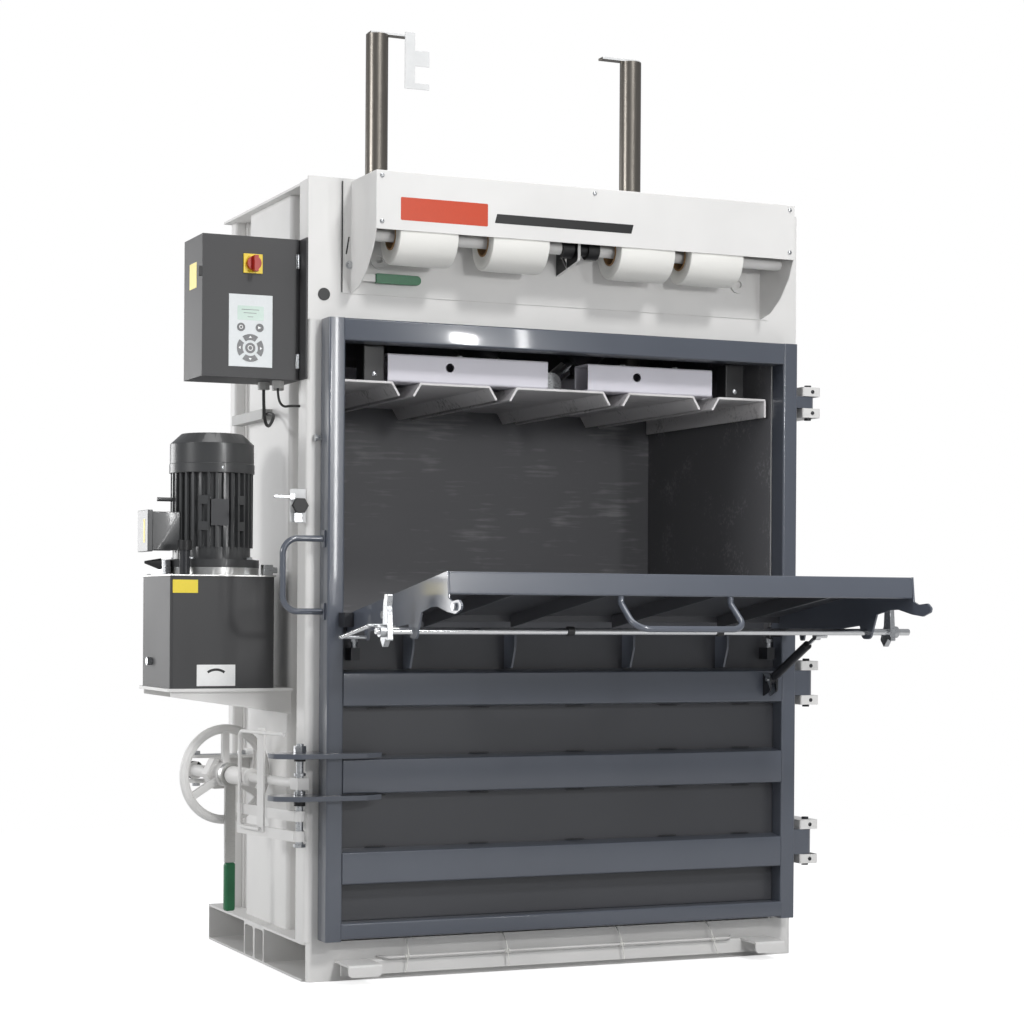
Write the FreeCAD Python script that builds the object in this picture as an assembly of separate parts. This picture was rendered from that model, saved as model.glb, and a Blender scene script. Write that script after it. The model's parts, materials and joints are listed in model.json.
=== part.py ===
import FreeCAD
import Part
import math
import os

os.makedirs("parts", exist_ok=True)
Vec = FreeCAD.Vector

# ---------------------------------------------------------------- driving sizes, mm
# chassis
CHAMBER_HALF = 598.0      # inner half width of the chamber
HALF_W = CHAMBER_HALF + 73.0    # half width of base and head
HALF_D = 400.0            # half depth of base
BASE_H = 95.0             # base height
BASE_T = 6.0              # base plate thickness
POCKET_F_BACK = -91.5     # front fork pocket ends here
TUBE_A = (-85.5, -4.5)    # first cross tube, y range
TUBE_B = (-3.5, 79.5)     # second cross tube, y range
SKID_W = 150.0            # bottom strips at both ends
FRONT_CORNER_R = 20.0
BAR_TOP = 50.0            # step bar in front of the base
BAR_FRONT = -418.0
BAR_HALF = HALF_W - 88.0
FOOT_IN = HALF_W - 163.0
FOOT_OUT = HALF_W - 79.0
FOOT_FRONT = -498.0
FOOT_LIP = 29.0
HEAD_TOP = 1926.0
HEAD_BOTTOM = 1584.0
WALL_T = 6.0
CHAMBER_BACK = 300.0
POST_REAR = -325.0        # rear edge of the front posts
PANEL_X = CHAMBER_HALF + 39.0   # outer face of the side panels
PANEL_Y0 = -164.0
PANEL_Y1 = 178.0
STIFFENER_BACK = 347.0
FLOOR_TOP = 120.0
PLUG = (40.0 - HALF_W, 1645.0, 15.0)   # round plug in the head plate: x, z, radius
# head beams
CROSS_Y0 = -96.0
CROSS_Y1 = 24.0
CROSS_Z0 = 1600.0
CROSS_Z1 = 1700.0
TOPBEAM_Y0 = -240.0
TOPBEAM_Y1 = -160.0
TOPBEAM_Z0 = 1886.0
# guides
GUIDE_X = 365.0
GUIDE_Y = -36.0
GUIDE_R = 29.0
GUIDE_WALL = 5.0
RAM_TRAVEL = 440.0
GUIDE_TOP = HEAD_TOP + RAM_TRAVEL + 8.0
FLAG_X0 = -294.0          # switch flag on the left guide's arm
FLAG_X1 = -226.0
FLAG_Y = GUIDE_Y - 14.0
FLAG_T = 3.0
FLAG_ROOM = 6.0           # clear space round the flag in the head's slot
BUSH_R = 39.0
BUSH_GAP = 0.06           # running fit on the radius
# ram
RAM_TOP = 1446.0
RAM_T = 6.0
RAM_Y0 = -388.0
RAM_Y1 = 288.0
RAM_HALF = CHAMBER_HALF - 8.0
RAM_EDGE = 48.0           # height of outer end flanges
CHANNEL_X = (-413.0, -156.0, 156.0, 413.0)
CHANNEL_TOP = 72.0
CHANNEL_BOTTOM = 32.0
CHANNEL_H = 33.0
RAMBEAM_TOP = 1515.0
BEAM_HOLE_R = 11.0
# cylinders
CYL_Y = -200.0
HEAD_PIN = (CHAMBER_HALF - 98.0, 1850.0)
RAM_PIN = (45.0, 1475.0)
BARREL_R = 45.0
ROD_R = 20.0
ROD_GAP = 0.08
EYE_R = 29.0
EYE_HALF = 20.0
CLEVIS_T = 12.0
CLEVIS_GAP = 0.3
BORE_END = 88.0           # blind end of the bore, from the head pin
ROD_OUT = 87.6            # rod that stands out of the retracted cylinder
PIN_R = 15.0
# door
DOOR_IN = CHAMBER_HALF
DOOR_HALF = DOOR_IN + 41.0
DOOR_FRONT = -465.0
DOOR_BACK = -403.0
DOOR_Z0 = 102.5
DOOR_Z1 = 1584.0
DOOR_TOP_RAIL = 1530.0
DOOR_LOW_RAIL = 146.0
DOOR_PANEL_TOP = 880.0
DOOR_PANEL_Y = -420.0
DOOR_CORNER_R = 5.0
RIB_BANDS = ((232.0, 320.0), (448.0, 541.0), (656.0, 747.0))
STIFF_X = (-428.0, -162.0, 162.0, 428.0)
HINGE_X = DOOR_HALF + 51.0
HINGE_Y = -430.0
HINGE_BANDS = ((240.0, 353.0), (652.0, 765.0), (1397.0, 1476.0))
HINGE_PIN_R = 9.0
# flap
FLAP_Y = -434.0
FLAP_Z = 845.0
FLAP_HALF = DOOR_IN - 11.0
FLAP_T = 4.0
FLAP_PIN_R = 8.0
LATCH_Y = -890.0
LATCH_Z = 845.0
LATCH_R = 8.0
FLAP_LIP_Z = 925.0        # underside of the flap's front lip
HANDLE_R = 7.0
HANDLE_XS = (-172.0, 103.0)
HANDLE_ROOT_Y = -1081.0
HANDLE_FRONT_Y = -1156.0
HANDLE_LOW_Z = 853.0
STRUT_A = (FLAP_HALF - 33.0, -487.0, 719.0)
STRUT_B = (FLAP_HALF - 33.0, -709.0, 833.0)
STRUT_TUBE_R = 11.0
STRUT_ROD_R = 5.0
# door lock
LOCK_X = -DOOR_HALF - 51.0
LOCK_Y = -418.0
LOCK_TILT = 11.2          # arm leans from +Y towards -X, degrees
LOCK_Z = 477.0
LOCK_PIN_R = 9.0
HOOK_ZS = (LOCK_Z - 32.0, LOCK_Z + 68.0)
HOOK_T = 12.0
SPINDLE_R = 11.0
SLEEVE_R = 22.0
SLEEVE_A = 243.0
SLEEVE_B = 368.0
WHEEL_AT = 376.0
WHEEL_R = 124.5
WHEEL_RIM = 22.0
RATCHET_AT = 352.0
BUSH_OUT_R = 15.0         # the ratchet turns on this bush of the carrier
# cabinet
CAB_X1 = -HALF_W - 5.0
CAB_X0 = CAB_X1 - 242.0
CAB_Y0 = -352.0
CAB_Y1 = -198.0
CAB_Z0 = 1441.0
CAB_Z1 = 1778.0
CAB_T = 2.0
# power unit
TANK_X1 = -PANEL_X - 49.0
TANK_X0 = TANK_X1 - 263.0
TANK_Y0 = -206.0
TANK_Y1 = 57.0
TANK_Z0 = 697.0
TANK_Z1 = 970.0
TANK_T = 3.0
MOTOR_X = TANK_X1 - 123.0
MOTOR_Y = -74.0
MOTOR_R = 102.0
FIN_COUNT = 32
FIN_H = 10.0
# hood
HOOD_HALF = HALF_W - 108.0
HOOD_FRONT = -573.5
HOOD_Z0 = 1782.0
HOOD_Z1 = 1920.0
HOOD_ROOT_Z = 1650.0
HOOD_T = 2.5
ROLL_Y = -500.0
ROLL_Z = 1780.0
ROLL_R = 70.0
ROLL_LEN = 150.0
ROLL_XS = (-426.0, -188.0, 153.0, 346.0)
SPINDLE_TUBE_R = 16.0
CLEAR = 0.3


# ---------------------------------------------------------------- shape helpers
def box(x0, x1, y0, y1, z0, z1):
    return Part.makeBox(x1 - x0, y1 - y0, z1 - z0, Vec(x0, y0, z0))


def cyl(base, axis, radius, length):
    return Part.makeCylinder(radius, length, Vec(*base), Vec(*axis))


def ring(base, axis, outer, inner, length):
    return cyl(base, axis, outer, length).cut(cyl(base, axis, inner, length))


def lift(plane, a, b, w):
    """Point of a drawing in one of the three planes: X=(y,z), Y=(x,z), Z=(x,y)."""
    if plane == "X":
        return Vec(w, a, b)
    if plane == "Y":
        return Vec(a, w, b)
    return Vec(a, b, w)


def outline(plane, pts, w, radii=None):
    """Closed wire through pts with an optional arc radius at every corner."""
    count = len(pts)
    if radii is None:
        radii = [0.0] * count
    if not isinstance(radii, (list, tuple)):
        radii = [radii] * count
    starts = []
    ends = []
    mids = []
    for i in range(count):
        px, py = pts[i]
        ax, ay = pts[i - 1]
        bx, by = pts[(i + 1) % count]
        la = math.hypot(ax - px, ay - py)
        lb = math.hypot(bx - px, by - py)
        ux, uy = (ax - px) / la, (ay - py) / la
        vx, vy = (bx - px) / lb, (by - py) / lb
        cosine = max(-1.0, min(1.0, ux * vx + uy * vy))
        half = math.acos(cosine) / 2.0
        r = radii[i]
        if r <= 0.0 or half > math.pi / 2.0 - 0.02:
            starts.append((px, py))
            ends.append((px, py))
            mids.append(None)
            continue
        t = r / math.tan(half)
        starts.append((px + ux * t, py + uy * t))
        ends.append((px + vx * t, py + vy * t))
        sx, sy = ux + vx, uy + vy
        sl = math.hypot(sx, sy)
        reach = r / math.sin(half) - r
        mids.append((px + sx / sl * reach, py + sy / sl * reach))
    edges = []
    for i in range(count):
        if mids[i] is not None:
            a = lift(plane, starts[i][0], starts[i][1], w)
            m = lift(plane, mids[i][0], mids[i][1], w)
            b = lift(plane, ends[i][0], ends[i][1], w)
            edges.append(Part.Arc(a, m, b).toShape())
        a = lift(plane, ends[i][0], ends[i][1], w)
        nxt = starts[(i + 1) % count]
        b = lift(plane, nxt[0], nxt[1], w)
        if a.distanceToPoint(b) > 1e-6:
            edges.append(Part.makeLine(a, b))
    return Part.Wire(edges)


def prism(plane, pts, lo, hi, radii=None, holes=()):
    """Drawing in a plane, swept between two coordinates; holes are (a, b, r)."""
    face = Part.Face(outline(plane, pts, lo, radii))
    direction = lift(plane, 0.0, 0.0, hi - lo)
    solid = face.extrude(direction)
    axis = lift(plane, 0.0, 0.0, 1.0)
    for a, b, r in holes:
        start = lift(plane, a, b, lo - 1.0)
        solid = solid.cut(Part.makeCylinder(r, hi - lo + 2.0, start, axis))
    return solid


def folded(plane, pts, thick, lo, hi, inner=0.0):
    """Folded sheet: open line pts thickened to its left side, bends rounded."""
    count = len(pts)
    offset = []
    turns = []
    for i in range(count):
        dirs = []
        if i > 0:
            dx, dy = pts[i][0] - pts[i - 1][0], pts[i][1] - pts[i - 1][1]
            length = math.hypot(dx, dy)
            dirs.append((dx / length, dy / length))
        if i < count - 1:
            dx, dy = pts[i + 1][0] - pts[i][0], pts[i + 1][1] - pts[i][1]
            length = math.hypot(dx, dy)
            dirs.append((dx / length, dy / length))
        if len(dirs) == 1:
            nx, ny = -dirs[0][1], dirs[0][0]
            offset.append((pts[i][0] + nx * thick, pts[i][1] + ny * thick))
            turns.append(0.0)
            continue
        n1 = (-dirs[0][1], dirs[0][0])
        n2 = (-dirs[1][1], dirs[1][0])
        dot = n1[0] * n2[0] + n1[1] * n2[1]
        scale = thick / (1.0 + dot)
        offset.append((pts[i][0] + (n1[0] + n2[0]) * scale, pts[i][1] + (n1[1] + n2[1]) * scale))
        turns.append(dirs[0][0] * dirs[1][1] - dirs[0][1] * dirs[1][0])
    first = [0.0 if t == 0.0 else (inner + thick if t > 0.0 else inner) for t in turns]
    second = [0.0 if t == 0.0 else (inner if t > 0.0 else inner + thick) for t in turns]
    loop = list(pts) + offset[::-1]
    return prism(plane, loop, lo, hi, first + second[::-1])


def tube_box(axis, a0, a1, b0, b1, lo, hi, wall, radius=6.0):
    """Rectangular hollow section along one axis with rounded corners."""
    outer = [(a0, b0), (a1, b0), (a1, b1), (a0, b1)]
    inner = [(a0 + wall, b0 + wall), (a1 - wall, b0 + wall), (a1 - wall, b1 - wall), (a0 + wall, b1 - wall)]
    small = radius - wall if radius - wall > 3.0 else 0.0
    return prism(axis, outer, lo, hi, radius).cut(prism(axis, inner, lo - 1.0, hi + 1.0, small))


def bent_bar(points, bends, radius):
    """Round bar along a line of points: straight lengths and true bends, a bend radius for each corner."""
    pieces = []
    previous = Vec(*points[0])
    for i in range(1, len(points) - 1):
        corner = Vec(*points[i])
        before = Vec(*points[i - 1]).sub(corner)
        after = Vec(*points[i + 1]).sub(corner)
        before.normalize()
        after.normalize()
        half = before.getAngle(after) / 2.0
        bend = bends[i - 1]
        reach = bend / math.tan(half)
        start = corner.add(Vec(before).multiply(reach))
        middle = before.add(after)
        middle.normalize()
        centre = corner.add(Vec(middle).multiply(bend / math.sin(half)))
        end = corner.add(Vec(after).multiply(reach))
        axis = start.sub(centre).cross(end.sub(centre))
        run = start.sub(previous)
        pieces.append(Part.makeCylinder(radius, run.Length, previous, run))
        section = Part.Face(Part.Wire([Part.makeCircle(radius, start, before.negative())]))
        elbow = section.revolve(centre, axis, math.degrees(math.pi - 2.0 * half))
        if elbow.Volume < 0.0:
            elbow.reverse()
        pieces.append(elbow)
        previous = end
    run = Vec(*points[-1]).sub(previous)
    pieces.append(Part.makeCylinder(radius, run.Length, previous, run))
    bar = pieces[0]
    for piece in pieces[1:]:
        bar = bar.fuse(piece)
    return bar


def hexagon(base, axis, flats, length):
    """Hexagon prism for bolt heads and nuts."""
    direction = Vec(*axis)
    direction.normalize()
    side = Vec(0, 0, 1) if abs(direction.z) < 0.9 else Vec(1, 0, 0)
    u = direction.cross(side)
    u.normalize()
    v = direction.cross(u)
    r = flats / 2.0 / math.cos(math.pi / 6.0)
    pts = []
    for i in range(7):
        angle = math.pi / 3.0 * i
        shift = Vec(u).multiply(r * math.cos(angle)).add(Vec(v).multiply(r * math.sin(angle)))
        pts.append(Vec(*base).add(shift))
    return Part.Face(Part.makePolygon(pts)).extrude(Vec(direction).multiply(length))


def join(shapes):
    result = shapes[0]
    for shape in shapes[1:]:
        result = result.fuse(shape)
    return result.removeSplitter()


def mirror_x(shape):
    return shape.mirror(Vec(0, 0, 0), Vec(1, 0, 0))


def turn(shape, centre, axis, degrees):
    copy = shape.copy()
    copy.rotate(Vec(*centre), Vec(*axis), degrees)
    return copy


NODES = {}


def keep(name, shapes):
    """Collect the solids of one node; separate solids stay separate."""
    if not isinstance(shapes, (list, tuple)):
        shapes = [shapes]
    solids = []
    for shape in shapes:
        solids.extend(shape.Solids)
    NODES.setdefault(name, []).extend(solids)


# ---------------------------------------------------------------- base frame
def base_frame():
    corners = [(-HALF_W, -HALF_D), (HALF_W, -HALF_D), (HALF_W, HALF_D), (-HALF_W, HALF_D)]
    round_front = [FRONT_CORNER_R, FRONT_CORNER_R, 0.0, 0.0]
    under = BASE_H - BASE_T
    top = prism("Z", corners, under, BASE_H, round_front)
    skirt = prism("Z", corners, 0.0, under, round_front)
    skirt = skirt.cut(box(-HALF_W - 1, HALF_W + 1, -HALF_D + BASE_T, HALF_D + 1, -1, BASE_H))
    shapes = [top, skirt]
    shapes.append(box(-HALF_W, HALF_W, HALF_D - BASE_T, HALF_D, 0.0, under))
    for y0, y1 in (TUBE_A, TUBE_B):
        outer = [(y0, 0.0), (y1, 0.0), (y1, under), (y0, under)]
        a, b, c, d = y0 + BASE_T, y1 - BASE_T, BASE_T, under - BASE_T
        tube = prism("X", outer, -HALF_W, HALF_W, 3.0)
        shapes.append(tube.cut(prism("X", [(a, c), (b, c), (b, d), (a, d)], -HALF_W - 1, HALF_W + 1, 9.0)))
    for side in (-1.0, 1.0):
        x0 = min(side * HALF_W, side * (HALF_W - SKID_W))
        x1 = x0 + SKID_W
        inset = FRONT_CORNER_R if side < 0 else 0.0
        outset = FRONT_CORNER_R if side > 0 else 0.0
        front = box(x0 + inset, x1 - outset, -HALF_D + BASE_T, POCKET_F_BACK + 20.0, 0.0, BASE_T)
        shapes.append(front)
        edge = box(x0, x1, -HALF_D + FRONT_CORNER_R, POCKET_F_BACK + 20.0, 0.0, BASE_T)
        shapes.append(edge)
        shapes.append(box(x0, x1, TUBE_B[1] - 15.0, HALF_D - BASE_T, 0.0, BASE_T))
    bar = folded("X", [(-HALF_D, BAR_TOP), (BAR_FRONT, BAR_TOP), (BAR_FRONT, 14.0)], 6.0, -BAR_HALF, BAR_HALF)
    shapes.append(bar)
    for side in (-1.0, 1.0):
        x0 = min(side * FOOT_IN, side * FOOT_OUT)
        x1 = x0 + FOOT_OUT - FOOT_IN
        low = BAR_TOP - FOOT_LIP
        ledge = folded("X", [(-HALF_D, BAR_TOP), (FOOT_FRONT, BAR_TOP), (FOOT_FRONT, low)], 6.0, x0, x1)
        face = [(x0, low), (x1, low), (x1, BAR_TOP), (x0, BAR_TOP)]
        ledge = ledge.common(prism("Y", face, FOOT_FRONT - 1.0, -HALF_D + 1.0, [11.0, 11.0, 0.0, 0.0]))
        shapes.append(ledge)
    return join(shapes)


base_body = base_frame()
keep("base_frame", base_body)

ROD_Z = BAR_TOP + 4.0
hook_path = [(-486.0, -HALF_D, ROD_Z), (-470.0, -428.0, ROD_Z), (470.0, -428.0, ROD_Z), (486.0, -HALF_D, ROD_Z)]
keep("base_frame", bent_bar(hook_path, [12.0, 12.0], 3.0).cut(base_body))


# ---------------------------------------------------------------- side frames
def side_frame():
    post = tube_box("Z", -HALF_W, -CHAMBER_HALF - WALL_T, -HALF_D, POST_REAR, BASE_H, HEAD_TOP - WALL_T, 6.0, 12.0)
    post = post.cut(box(-HALF_W - 1, HALF_W, -HALF_D - 1, -HALF_D + 8.0, HEAD_BOTTOM, HEAD_TOP))
    wall = box(-CHAMBER_HALF - WALL_T, -CHAMBER_HALF, -HALF_D + 8.0, CHAMBER_BACK, BASE_H, HEAD_TOP - WALL_T)
    front_wall = box(-CHAMBER_HALF - WALL_T, -CHAMBER_HALF, -HALF_D, -HALF_D + 8.0, BASE_H, HEAD_BOTTOM)
    root = -CHAMBER_HALF - WALL_T
    path = [(root, PANEL_Y1), (-PANEL_X, PANEL_Y1), (-PANEL_X, PANEL_Y0), (root, PANEL_Y0)]
    panel = folded("Z", path, 4.0, BASE_H, HEAD_TOP - WALL_T, 8.0)
    rear = tube_box("Z", -PANEL_X, root, CHAMBER_BACK, STIFFENER_BACK, BASE_H, HEAD_TOP - WALL_T, 5.0, 8.0)
    link = box(root - 5.0, root, CHAMBER_BACK - 14.0, CHAMBER_BACK, BASE_H, HEAD_TOP - WALL_T)
    return [post, join([wall, front_wall]), panel, rear, link]


left = side_frame()
keep("left_side_frame", left)
keep("right_side_frame", [mirror_x(shape) for shape in left])


# ---------------------------------------------------------------- rear wall and floor
def rear_wall():
    half = CHAMBER_HALF + WALL_T
    shapes = [box(-half, half, CHAMBER_BACK, CHAMBER_BACK + WALL_T, BASE_H, HEAD_TOP - WALL_T)]
    for x in (-480.0, -240.0, 0.0, 240.0, 480.0):
        y0 = CHAMBER_BACK + WALL_T
        path = [(x - 40.0, y0), (x - 30.0, STIFFENER_BACK), (x + 30.0, STIFFENER_BACK), (x + 40.0, y0)]
        shapes.append(folded("Z", path[::-1], 5.0, BASE_H, HEAD_TOP - WALL_T).cut(shapes[0]))
    return shapes


keep("rear_wall", rear_wall())


def pan(x0, x1, top, low, slope_left, slope_right, thick, y0, y1):
    """Folded pan with flanges that lean outwards at the bottom."""
    path = [(x1 + slope_right, low), (x1, top), (x0, top), (x0 - slope_left, low)]
    return folded("Y", path, thick, y0, y1)


def floor_pans():
    pans = []
    gap = 16.0
    edges = [-CHAMBER_HALF + CLEAR - gap] + list(CHANNEL_X) + [CHAMBER_HALF - CLEAR + gap]
    for i in range(5):
        x0 = edges[i] + gap
        x1 = edges[i + 1] - gap
        pans.append(pan(x0, x1, FLOOR_TOP, BASE_H, 0.0, 0.0, 5.0, -HALF_D + 2.0, CHAMBER_BACK - 2.0))
    return pans


keep("chamber_floor", floor_pans())


# ---------------------------------------------------------------- head frame
def head_frame():
    shapes = [box(-HALF_W, HALF_W, -HALF_D, -HALF_D + 8.0, HEAD_BOTTOM, HEAD_TOP)]
    edge = HALF_W - 14.0
    shapes.append(box(-edge, edge, -HALF_D + 8.0, STIFFENER_BACK, HEAD_TOP - WALL_T, HEAD_TOP))
    inner = CHAMBER_HALF
    shapes.append(tube_box("X", CROSS_Y0, CROSS_Y1, CROSS_Z0, CROSS_Z1, -inner, inner, 8.0, 12.0))
    shapes.append(tube_box("X", TOPBEAM_Y0, TOPBEAM_Y1, TOPBEAM_Z0, HEAD_TOP - WALL_T, -inner, inner, 6.0, 6.0))
    for side in (-1.0, 1.0):
        px = side * HEAD_PIN[0]
        pz = HEAD_PIN[1]
        eye = [(px - EYE_R, TOPBEAM_Z0), (px - EYE_R, pz - EYE_R)]
        eye += [(px + EYE_R, pz - EYE_R), (px + EYE_R, TOPBEAM_Z0)]
        for face in (-1.0, 1.0):
            a = CYL_Y + face * (EYE_HALF + CLEVIS_GAP)
            b = a + face * CLEVIS_T
            lo, hi = min(a, b), max(a, b)
            start = hi if face > 0 else lo - 6.0
            plate = prism("Y", eye, lo, hi, [0.0, EYE_R - 1.0, EYE_R - 1.0, 0.0])
            shapes.append(join([plate, cyl((px, start, pz), (0, 1, 0), 20.0, 6.0)]))
    for side in (-1.0, 1.0):
        x = side * GUIDE_X
        low_bore = cyl((x, GUIDE_Y, CROSS_Z0 - 1), (0, 0, 1), BUSH_R, CROSS_Z1 - CROSS_Z0 + 2)
        top_bore = cyl((x, GUIDE_Y, HEAD_TOP - 10), (0, 0, 1), BUSH_R + 5.0, 12.0)
        shapes = [shape.cut(low_bore).cut(top_bore) for shape in shapes]
    slot = [(FLAG_X0 - FLAG_ROOM, FLAG_Y - FLAG_T - FLAG_ROOM)]
    slot += [(FLAG_X1 + FLAG_ROOM, FLAG_Y - FLAG_T - FLAG_ROOM)]
    slot += [(FLAG_X1 + FLAG_ROOM, FLAG_Y + FLAG_ROOM), (FLAG_X0 - FLAG_ROOM, FLAG_Y + FLAG_ROOM)]
    slot = prism("Z", slot, HEAD_TOP - 10.0, HEAD_TOP + 2.0, 4.0)
    return [shape.cut(slot) for shape in shapes]


keep("head_frame", head_frame())

for side in (-1.0, 1.0):
    bush = ring((side * GUIDE_X, GUIDE_Y, CROSS_Z0 - 8.0), (0, 0, 1), BUSH_R, GUIDE_R + BUSH_GAP, 116.0)
    lip = ring((side * GUIDE_X, GUIDE_Y, CROSS_Z1), (0, 0, 1), BUSH_R + 10.0, BUSH_R - 1.0, 8.0)
    keep("guide_bushes", bush.fuse(lip).removeSplitter())

# ---------------------------------------------------------------- twine hood
def hood():
    back_x = HOOD_HALF + 22.0
    back_y = -HALF_D - HOOD_T
    shapes = [box(-back_x, back_x, back_y, -HALF_D, HOOD_ROOT_Z, HOOD_Z1)]
    path = [(back_y, HOOD_Z1), (HOOD_FRONT, HOOD_Z1), (HOOD_FRONT, HOOD_Z0)]
    shapes.append(folded("X", path, HOOD_T, -HOOD_HALF, HOOD_HALF))
    cheek = [
        (HOOD_FRONT + HOOD_T, HOOD_Z1 - HOOD_T),
        (HOOD_FRONT + HOOD_T, HOOD_Z0),
        (HOOD_FRONT + 22.0, HOOD_Z0 - 42.0),
        (HOOD_FRONT + 66.0, HOOD_Z0 - 90.0),
        (HOOD_FRONT + 118.0, HOOD_Z0 - 122.0),
        (back_y, HOOD_ROOT_Z),
        (back_y, HOOD_Z1 - HOOD_T),
    ]
    for side in (-1.0, 1.0):
        lo = min(side * HOOD_HALF, side * (HOOD_HALF - HOOD_T))
        shapes.append(prism("X", cheek, lo, lo + HOOD_T, [0.0, 0.0, 60.0, 80.0, 60.0, 0.0, 0.0]))
    return join(shapes)


keep("twine_hood", hood())


def roll_carriers():
    back = -HALF_D - HOOD_T
    shapes = []
    runs = ((-HOOD_HALF + HOOD_T, -22.0), (-14.0, HOOD_HALF - HOOD_T))
    for a, b in runs:
        shapes.append(cyl((a, ROLL_Y, ROLL_Z), (1, 0, 0), SPINDLE_TUBE_R, b - a))
    front = ROLL_Y - 30.0
    centre = [(back, ROLL_Z + 55.0), (front, ROLL_Z + 32.0), (front, ROLL_Z - 32.0), (back, ROLL_Z - 55.0)]
    shapes.append(prism("X", centre, -22.0, -14.0, [0.0, 12.0, 12.0, 0.0]))
    gusset = [(-60.0, ROLL_Z + 32.0), (-22.0, ROLL_Z - 45.0), (-14.0, ROLL_Z - 45.0), (25.0, ROLL_Z + 32.0)]
    shapes.append(prism("Y", gusset, ROLL_Y + 34.0, ROLL_Y + 37.0))
    for a in (12.0, -57.0):
        shapes.append(cyl((a, ROLL_Y, ROLL_Z), (1, 0, 0), 24.0, 30.0))
    return join(shapes)


keep("twine_brackets", roll_carriers())
PAD_HALF = 22.0
PAD_LOW = ROLL_Z - 66.0
PAD_HIGH = ROLL_Z + 14.0
PAD_T = 8.0
for x in (69.0 - HOOD_HALF, HOOD_HALF - 69.0):
    pad = [(x - PAD_HALF, PAD_LOW), (x + PAD_HALF, PAD_LOW), (x + PAD_HALF, PAD_HIGH), (x - PAD_HALF, PAD_HIGH)]
    back = -HALF_D - HOOD_T
    keep("twine_brackets", prism("Y", pad, back - PAD_T, back, PAD_HALF - 1.0, [(x, PAD_LOW + PAD_HALF, 9.0)]))

for number, x in enumerate(ROLL_XS):
    a = x - ROLL_LEN / 2.0
    roll = ring((a, ROLL_Y, ROLL_Z), (1, 0, 0), ROLL_R, SPINDLE_TUBE_R + 0.1, ROLL_LEN)
    keep("twine_roll_%d" % (number + 1), roll)

# brake lever: pivot bracket on the hood back, bar and grip
LEVER_PIVOT = (-HOOD_HALF + 13.0, -HALF_D - 20.0, 1688.0)
lx, ly, lz = LEVER_PIVOT
lever_bar = prism(
    "Y", [(lx - 9.0, lz - 9.0), (lx + 42.0, lz - 9.0), (lx + 42.0, lz + 9.0), (lx - 9.0, lz + 9.0)],
    ly - 3.0, ly + 3.0, [8.9, 0.0, 0.0, 8.9])
lever_bar = lever_bar.cut(cyl((lx, ly - 5, lz), (0, 1, 0), 4.05, 10.0))
keep("brake_lever", lever_bar)
grip = [(lx + 42.0, lz - 12.0), (lx + 158.0, lz - 11.0), (lx + 158.0, lz + 11.0), (lx + 42.0, lz + 12.0)]
keep("brake_lever", prism("Y", grip, ly - 7.0, ly + 7.0, [4.0, 10.0, 10.0, 4.0]))
keep("twine_brackets", cyl((lx, ly - 8.0, lz), (0, 1, 0), 4.0, -HALF_D - HOOD_T - ly + 8.0))

# ---------------------------------------------------------------- ram
def ram_plate():
    half_top = CHANNEL_TOP / 2.0
    lean = (CHANNEL_TOP - CHANNEL_BOTTOM) / 2.0
    low = RAM_TOP - CHANNEL_H
    pans = []
    edges = list(CHANNEL_X)
    outer = [(edges[0] - half_top + lean, low), (edges[0] - half_top, RAM_TOP)]
    outer += [(-RAM_HALF, RAM_TOP), (-RAM_HALF, RAM_TOP - RAM_EDGE)]
    left_pan = folded("Y", outer, RAM_T, RAM_Y0, RAM_Y1)
    pans.append(left_pan)
    pans.append(mirror_x(left_pan))
    for i in range(3):
        x0 = edges[i] + half_top
        x1 = edges[i + 1] - half_top
        pans.append(pan(x0, x1, RAM_TOP, low, lean, lean, RAM_T, RAM_Y0, RAM_Y1))
    return pans


keep("ram_plate", ram_plate())


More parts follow.
